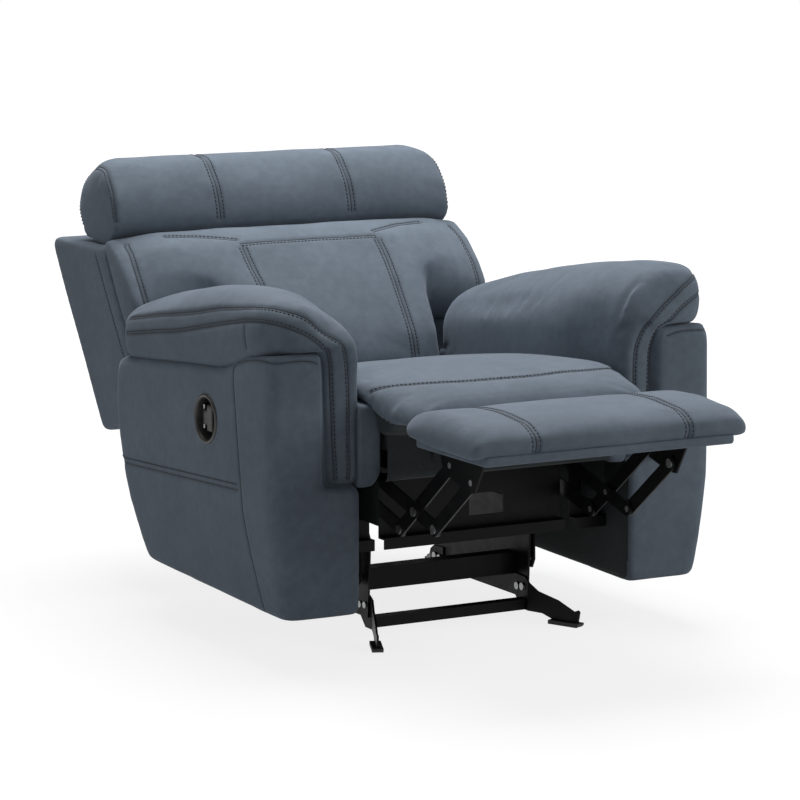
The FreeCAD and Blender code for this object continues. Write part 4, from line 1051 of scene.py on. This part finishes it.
def arm_low(y):
    """Height of the arm's lower edge, a line that rises to the rear."""
    return 95.0 + 15.0 * (y + 330.0) / 575.0


def arm_high(y):
    """Height of the box's top, a line that falls to the rear, lifted under the pillow's nose."""
    return 571.0 - 0.0803 * (y + 364.0) + 30.0 * smooth_step(-np.asarray(y, float), 150.0, 300.0)


def arm_box_rings(side):
    """Rings round the arm in plan, from the bottom to the top. Share runs up the height."""
    shares = np.array([
        0.0, 0.006, 0.02, 0.05, 0.1, 0.2, 0.3, 0.4, 0.45, 0.47, 0.48, 0.49, 0.5, 0.51, 0.55, 0.6, 0.7,
        0.78, 0.86,
        0.93, 0.97, 0.99, 1.0,
    ])
    draw = np.interp(shares, (0.0, 0.006, 0.02, 0.04, 0.95, 0.985, 1.0), (9, 4, 1, 0, 0, 3, 10))
    rear = np.interp(shares, (0.0, 0.72, 0.80, 1.0), (248, 333, 335, 322))
    rear[1:-1] = (rear[:-2] + 2 * rear[1:-1] + rear[2:]) / 4
    height = arm_low(0.0) + shares * (arm_high(0.0) - arm_low(0.0))
    outer = ARM_OUTER - 30.0 * np.clip((285.0 - height) / 186.0, 0.0, 1.0) ** 1.3
    rings = []
    for share, inset, back, out in zip(shares, draw, rear, outer):
        puff = 2.5 * math.sin(math.pi * share)
        front = ARM_FRONT + inset - puff
        back -= inset
        out = out - inset + 0.4 * puff
        inner = ARM_INNER + 0.5 * inset
        front_level = arm_low(front) + share * (float(arm_high(front)) - arm_low(front))
        step = front + (LIMB_STEP - front) * float(smooth_step(front_level, LIMB_LOW - 5.0, LIMB_LOW + 9.0))
        edge = LIMB_EDGE[side]
        corners = (
            (inner, step), (edge - 9, step), (edge, front), (out - 12, front), (out, front + 16),
            (out + 1, -20.0),
            (out, back - 10), (out - 8, back), (inner + 10, back + 3), (inner - 5, back + 3),
            (inner - 3, back - 14),
        )
        loop = rounded_loop(corners, 20.0)
        z = arm_low(loop[:, 1]) + share * (arm_high(loop[:, 1]) - arm_low(loop[:, 1]))
        rings.append(np.stack([side * loop[:, 0], loop[:, 1], z], axis=1))
    return np.array(rings)


def arm_box(name, side):
    """Box of one arm: skin, seams, lining, and on the right the pocket cut for the lever."""
    box = piece_of(f"arm_box_{name}", *skin(arm_box_rings(side)), suede)
    even_cells(box, 7.0)
    divide(box)
    roughen(box, 0.7, 210.0)
    flip = np.array([side, 1.0, 1.0])
    seams = [
        (smooth_path(UPRIGHT * flip), (), True),
        (smooth_path(LEVEL * flip), (-11.0,), True),
        (smooth_path(BROW * flip), (), True),
    ]
    sew(box, seams, "chassis", depth=1.8)
    if side < 0:
        turn = np.linspace(0.0, 2.0 * np.pi, 64, endpoint=False)
        rim = np.stack([LEVER_AT[0] + 44.6 * np.cos(turn), LEVER_AT[1] + 44.6 * np.sin(turn)], axis=1)
        cutter_rings = np.array([np.column_stack([np.full(64, x), rim]) for x in (-530.0, -456.0)])
        cutter = piece_of("lever_pocket", *skin(cutter_rings), suede)
        pocket = box.modifiers.new("pocket", "BOOLEAN")
        pocket.operation = "DIFFERENCE"
        pocket.solver = "EXACT"
        pocket.object = cutter
        bake(box)
        bpy.data.objects.remove(cutter)
    middles = middles_of(box)
    line_faces(box, (np.abs(middles[:, 0]) < ARM_INNER + 2.5) | (middles[:, 2] < 98.0))
    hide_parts(f"arm_side_panel_{name}", f"arm_front_panel_{name}")
    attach(box, "chassis")
    print(f"arm box {name}:", len(box.data.polygons), "faces")
    return box


for name, side in (("right", -1), ("left", 1)):
    arm_box(name, side)

# %% Arm pillow
CREST_AT = (-378, -375, -370, -360, -345, -325, -250, -150, 0, 150, 270, 300, 312, 318)
CREST = {
    "right": (630, 645, 662, 679, 691, 698, 702, 702, 684, 655, 629, 617, 602, 583),
    "left": (642, 659, 679, 699, 713, 720, 716, 702, 675, 646, 619, 607, 593, 576),
}
SLUMP = {"right": 1.0, "left": 0.4}
PILLOW_STATIONS = np.array([
    -378, -376, -372, -365, -355, -342, -325, -300, -270, -240, -200, -150, -100, -50, 0, 50, 100, 150,
    200, 250,
    280, 298, 308, 314, 317,
], float)


def pillow_rings(name, side):
    """Sections across the arm from front to rear: outer face, crown, and a drop on the inner face."""
    rings = []
    for y in PILLOW_STATIONS:
        nose = min(max(0.0, -290.0 - y), 88.0)
        outer = 493.0 - (88.0 - math.sqrt(88.0 ** 2 - nose ** 2))
        tail = float(smooth_step(y, 270.0, 318.0))
        outer -= 26.0 * tail
        top = float(np.interp(y, CREST_AT, CREST[name]))
        low = float(arm_high(y)) - 5.0 + 10.0 * float(smooth_step(-y, 300.0, 378.0)) + 12.0 * tail
        inner = 248.0 + 39.0 * float(smooth_step(-y, 170.0, 345.0)) + 14.0 * tail
        inner += 44.0 * float(smooth_step(-y, 335.0, 378.0))
        fall = SLUMP[name] * float(smooth_step(-y, 20.0, 280.0))
        drop = 440.0 + (low - 440.0) * float(smooth_step(-y, 318.0, 346.0))
        wall = max(301.0, inner + 14.0)
        tall = top - low
        corners = (
            (outer - 10, low), (outer - 2, low + 0.2 * tall), (outer, low + 0.55 * tall),
            (outer - 8, low + 0.82 * tall),
            (outer - 36, low + 0.97 * tall), (0.5 * outer + 0.5 * inner + 20, top + 2),
            (inner + 64, top - 4 - 26 * fall), (inner + 22, top - (0.24 + 0.34 * fall) * tall),
            (inner + 3, top - (0.66 + 0.24 * fall) * tall), (inner, max(drop + 8, low - 60)),
            (inner + 2, drop), (wall, drop), (wall, low),
        )
        loop = rounded_loop(corners, 18.0)
        rings.append(ring_at(y, loop, side))
    return np.array(rings)


LIMB_LEVELS = np.array([337, 339, 344, 353, 369, 420, 470, 520, 560, 585, 605, 622], float)


def limb_rings(side):
    """Upright limb in the step of the arm, drawn in at the bottom and leaning outwards at the top."""
    rings = []
    for z in LIMB_LEVELS:
        inset = float(np.interp(z, LIMB_LEVELS[:5], (18, 12, 6, 2, 0)))
        lean = 40.0 * float(smooth_step(z, 572.0, 650.0))
        ahead = 18.0 * float(smooth_step(z, 540.0, 640.0))
        near = 288.0 + 0.6 * inset + lean
        far = 366.0 + 8.0 * float(smooth_step(z, 360.0, 560.0)) - inset + 1.2 * lean
        face = -351.0 + 0.8 * inset - ahead
        corners = (
            (near, -300), (near, face + 12), (near + 16, face), (far - 18, face), (far, face + 14),
            (far, -300)
        )
        loop = rounded_loop(corners, 12.0)
        rings.append(np.stack([side * loop[:, 0], loop[:, 1], np.full(AROUND, z)], axis=1))
    return np.array(rings)


STRIP_UPPER = np.array([
    (494, 262, 606), (496, 110, 630), (497, -30, 650), (497, -175, 680), (494, -235, 690), (480, -305, 697),
    (448, -356, 692), (405, -382, 674), (366, -384, 646), (336, -374, 612), (321, -358, 570),
    (317, -354, 525),
    (316, -354, 449), (315, -352, 352),
], float)
STRIP_LOWER = np.array([
    (494, 268, 566), (496, 120, 588), (497, 16, 603), (497, -174, 640), (494, -250, 653), (476, -318, 658),
    (446, -364, 650), (410, -384, 632), (382, -380, 604), (364, -364, 567), (357, -355, 515),
    (353, -354, 420),
    (348, -352, 352),
], float)
TACK = np.array([(497, -262, 648), (497, -264, 626), (494, -266, 604)], float)


def arm_pillow(name, side):
    """Pillow of one arm: sections and limb fused by the remesh, smoothed, filled and sewn."""
    first, first_faces = skin(pillow_rings(name, side))
    second, second_faces = skin(limb_rings(side))
    shift = len(first)
    faces = first_faces + [[corner + shift for corner in face] for face in second_faces]
    pillow = piece_of(f"arm_pillow_{name}", np.vstack([first, second]), faces, suede)
    even_cells(pillow, 6.0)
    smooth_over(pillow, 18)
    flip = np.array([side, 1.0, 1.0])
    seams = [
        (smooth_path(STRIP_UPPER * flip), (5.0 * side,), True),
        (smooth_path(STRIP_LOWER * flip), (-5.0 * side,), True),
        (smooth_path(TACK * flip), (), True),
    ]
    start, seam_gap = near_seams(pillow, seams)
    below = start[:, 2] < arm_high(start[:, 1]) + 6.0
    hidden = below & (np.abs(start[:, 0]) > 298.0) & (start[:, 1] > -340.0)
    held = (seam_gap < 5.0) | hidden
    make_up(pillow, held, 9.0, (1.1, 110.0), seams, "chassis", depth=2.2)
    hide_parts(f"arm_pad_{name}")
    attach(pillow, "chassis")
    print(f"arm pillow {name}:", len(pillow.data.polygons), "faces")
    return pillow


for name, side in (("right", -1), ("left", 1)):
    arm_pillow(name, side)

# %% Inner arm panels
PANEL_ENDS = (
    (-356, 18), (-355, 9), (-350, 2), (-338, 0), (-318, 0), (-306, 0), (-294, 0), (-280, 0),
    (-240, 0), (-100, 0),
    (150, 0), (292, 0), (306, 6), (310, 14),
)
for name, side in (("right", -1), ("left", 1)):
    rings = []
    for y, inset in PANEL_ENDS:
        low = 344 + inset - 11 * float(smooth_step(-y, 280.0, 318.0))
        high = 484 - 0.5 * inset + 10 * float(smooth_step(-y, 240.0, 300.0))
        near = 249 + 0.4 * inset
        corners = ((near, low + 24), (near + 16, low + 2), (298, low), (298, high), (near, high))
        loop = rounded_loop(corners, 14.0)
        rings.append(ring_at(y, loop, side))
    panel = piece_of(f"arm_inner_panel_{name}", *skin(np.array(rings)), suede)
    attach(panel, "chassis")
print("inner arm panels: 2")

# %% [markdown]
# ## Release lever
#
# A turned cup of dark bronze plastic sits in the right arm, and a T-shaped paddle swings in it. The
# cup is a profile turned about the lever's own axis; the paddle is an outline given a thickness. Both
# could come from modifiers, but so few points are as easily written down.

# %% Cup and paddle
CUP_PROFILE = np.array([
    (46.5, -489.5), (48.5, -491.0), (48.8, -493.0), (47.6, -495.2), (45.4, -496.2), (43.0, -495.6),
    (41.4, -493.6),
    (40.6, -490.0), (40.2, -480.0), (39.8, -468.0), (38.0, -464.2), (34.0, -463.2), (16.0, -463.0),
    (1.0, -463.0),
])
turn = np.linspace(0.0, 2.0 * np.pi, 96, endpoint=False)
radius, depth = CUP_PROFILE[:, 0, None], CUP_PROFILE[:, 1, None]
cup_rings = np.stack([
    depth + 0.0 * turn, LEVER_AT[0] + radius * np.cos(turn), LEVER_AT[1] + radius * np.sin(turn)
], axis=-1)
count = len(CUP_PROFILE)
index = np.arange(count * 96).reshape(count, 96)
ahead = np.roll(index, -1, axis=1)
cup_faces = np.stack([index[:-1], ahead[:-1], ahead[1:], index[1:]], axis=-1).reshape(-1, 4).tolist()
cup = piece_of("lever_cup", cup_rings.reshape(-1, 3), cup_faces + [index[-1].tolist()], bronze)
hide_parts("lever_bezel")
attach(cup, "chassis")

PADDLE_OUTLINE = (
    (-70, 433), (-70, 463), (-90, 463), (-90, 474), (-112, 474), (-112, 422), (-90, 422), (-90, 433),
)
loop = rounded_loop(PADDLE_OUTLINE, 2.5)
paddle_rings = []
for x, inset in ((-478.5, 0.0), (-484.0, 0.0), (-485.4, 0.5), (-486.2, 1.6)):
    ring = draw_in(loop, inset)
    paddle_rings.append(np.column_stack([np.full(AROUND, x), ring]))
paddle = piece_of("lever_paddle", *skin(np.array(paddle_rings)), bronze)
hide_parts("release_lever")
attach(paddle, "lever")
print("lever: cup and paddle")

# %% [markdown]
# ## Dust cloth under the seat
#
# A thin black cloth hangs under the front of the seat and hides the timber. It is one strip: a
# profile from the hinge down and back, carried across the chair, with a few slack folds. It is
# stretched, so there is nothing for a simulation to drape.

# %% Front skirt
def carried(profile, half, count):
    """Profile carried across the chair from -half to half: a grid of places."""
    grid = np.repeat(profile[None, :, :], count, axis=0)
    grid[:, :, 0] = np.linspace(-half, half, count)[:, None]
    return grid


def cloth_of(name, grid):
    """Open sheet of dust cloth over a grid of places, one face to a cell."""
    rows, columns, _ = grid.shape
    index = np.arange(rows * columns).reshape(rows, columns)
    faces = np.stack([index[:-1, :-1], index[1:, :-1], index[1:, 1:], index[:-1, 1:]], axis=-1)
    return piece_of(name, grid.reshape(-1, 3), faces.reshape(-1, 4).tolist(), dust_cloth)


CLOTH_PROFILE = smooth_path(np.array([
    (0, -373, 440), (0, -374, 415), (0, -374, 385), (0, -373, 356), (0, -364, 346), (0, -340, 345),
    (0, -300, 346), (0, -288, 347)
]), 5.0)
grid = carried(CLOTH_PROFILE, 247.0, 82)
slack = np.sin(np.linspace(0.0, np.pi, len(CLOTH_PROFILE)))[None, :]
x, y, z = np.moveaxis(grid, -1, 0)
ripple = np.sin(x / 31.0 + z / 24.0) + 0.6 * np.sin(x / 17.0 - y / 21.0)
grid[:, :, 1] += 0.8 * slack * np.abs(ripple)
skirt = cloth_of("front_skirt", grid)
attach(skirt, "chassis")

# %% [markdown]
# A second strip closes the crevice behind the seat, where the back swings clear of the cushion. It is
# stretched between the two side plates from the seat's rear edge, below anything that moves.

# %% Crevice cloth
CREVICE = smooth_path(np.array([(0, 164, 394), (0, 190, 392), (0, 230, 388), (0, 292, 388)]), 6.0)
grid = carried(CREVICE, 202.0, 60)
slack = np.sin(np.linspace(0.0, np.pi, len(CREVICE)))[None, :]
grid[:, :, 2] -= 2.0 * slack * (1.0 + np.sin(grid[:, :, 0] / 23.0 + grid[:, :, 1] / 40.0))
crevice = cloth_of("crevice_cloth", grid)
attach(crevice, "chassis")

# %% [markdown]
# Two small flaps of the same cloth hang from the arms' inner panels and close the view past the links.

# %% Side flaps
flap_y, flap_z = np.meshgrid(np.linspace(-350.0, -238.0, 24), np.linspace(342.0, 258.0, 18), indexing="ij")
for name, side in (("right", -1), ("left", 1)):
    wave = 252.0 + 0.8 * np.sin(flap_y / 13.0 + flap_z / 29.0)
    flap = cloth_of(f"side_flap_{name}", np.stack([side * wave, flap_y, flap_z], axis=-1))
    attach(flap, "chassis")
print("side flaps: 112 by 84 mm each")
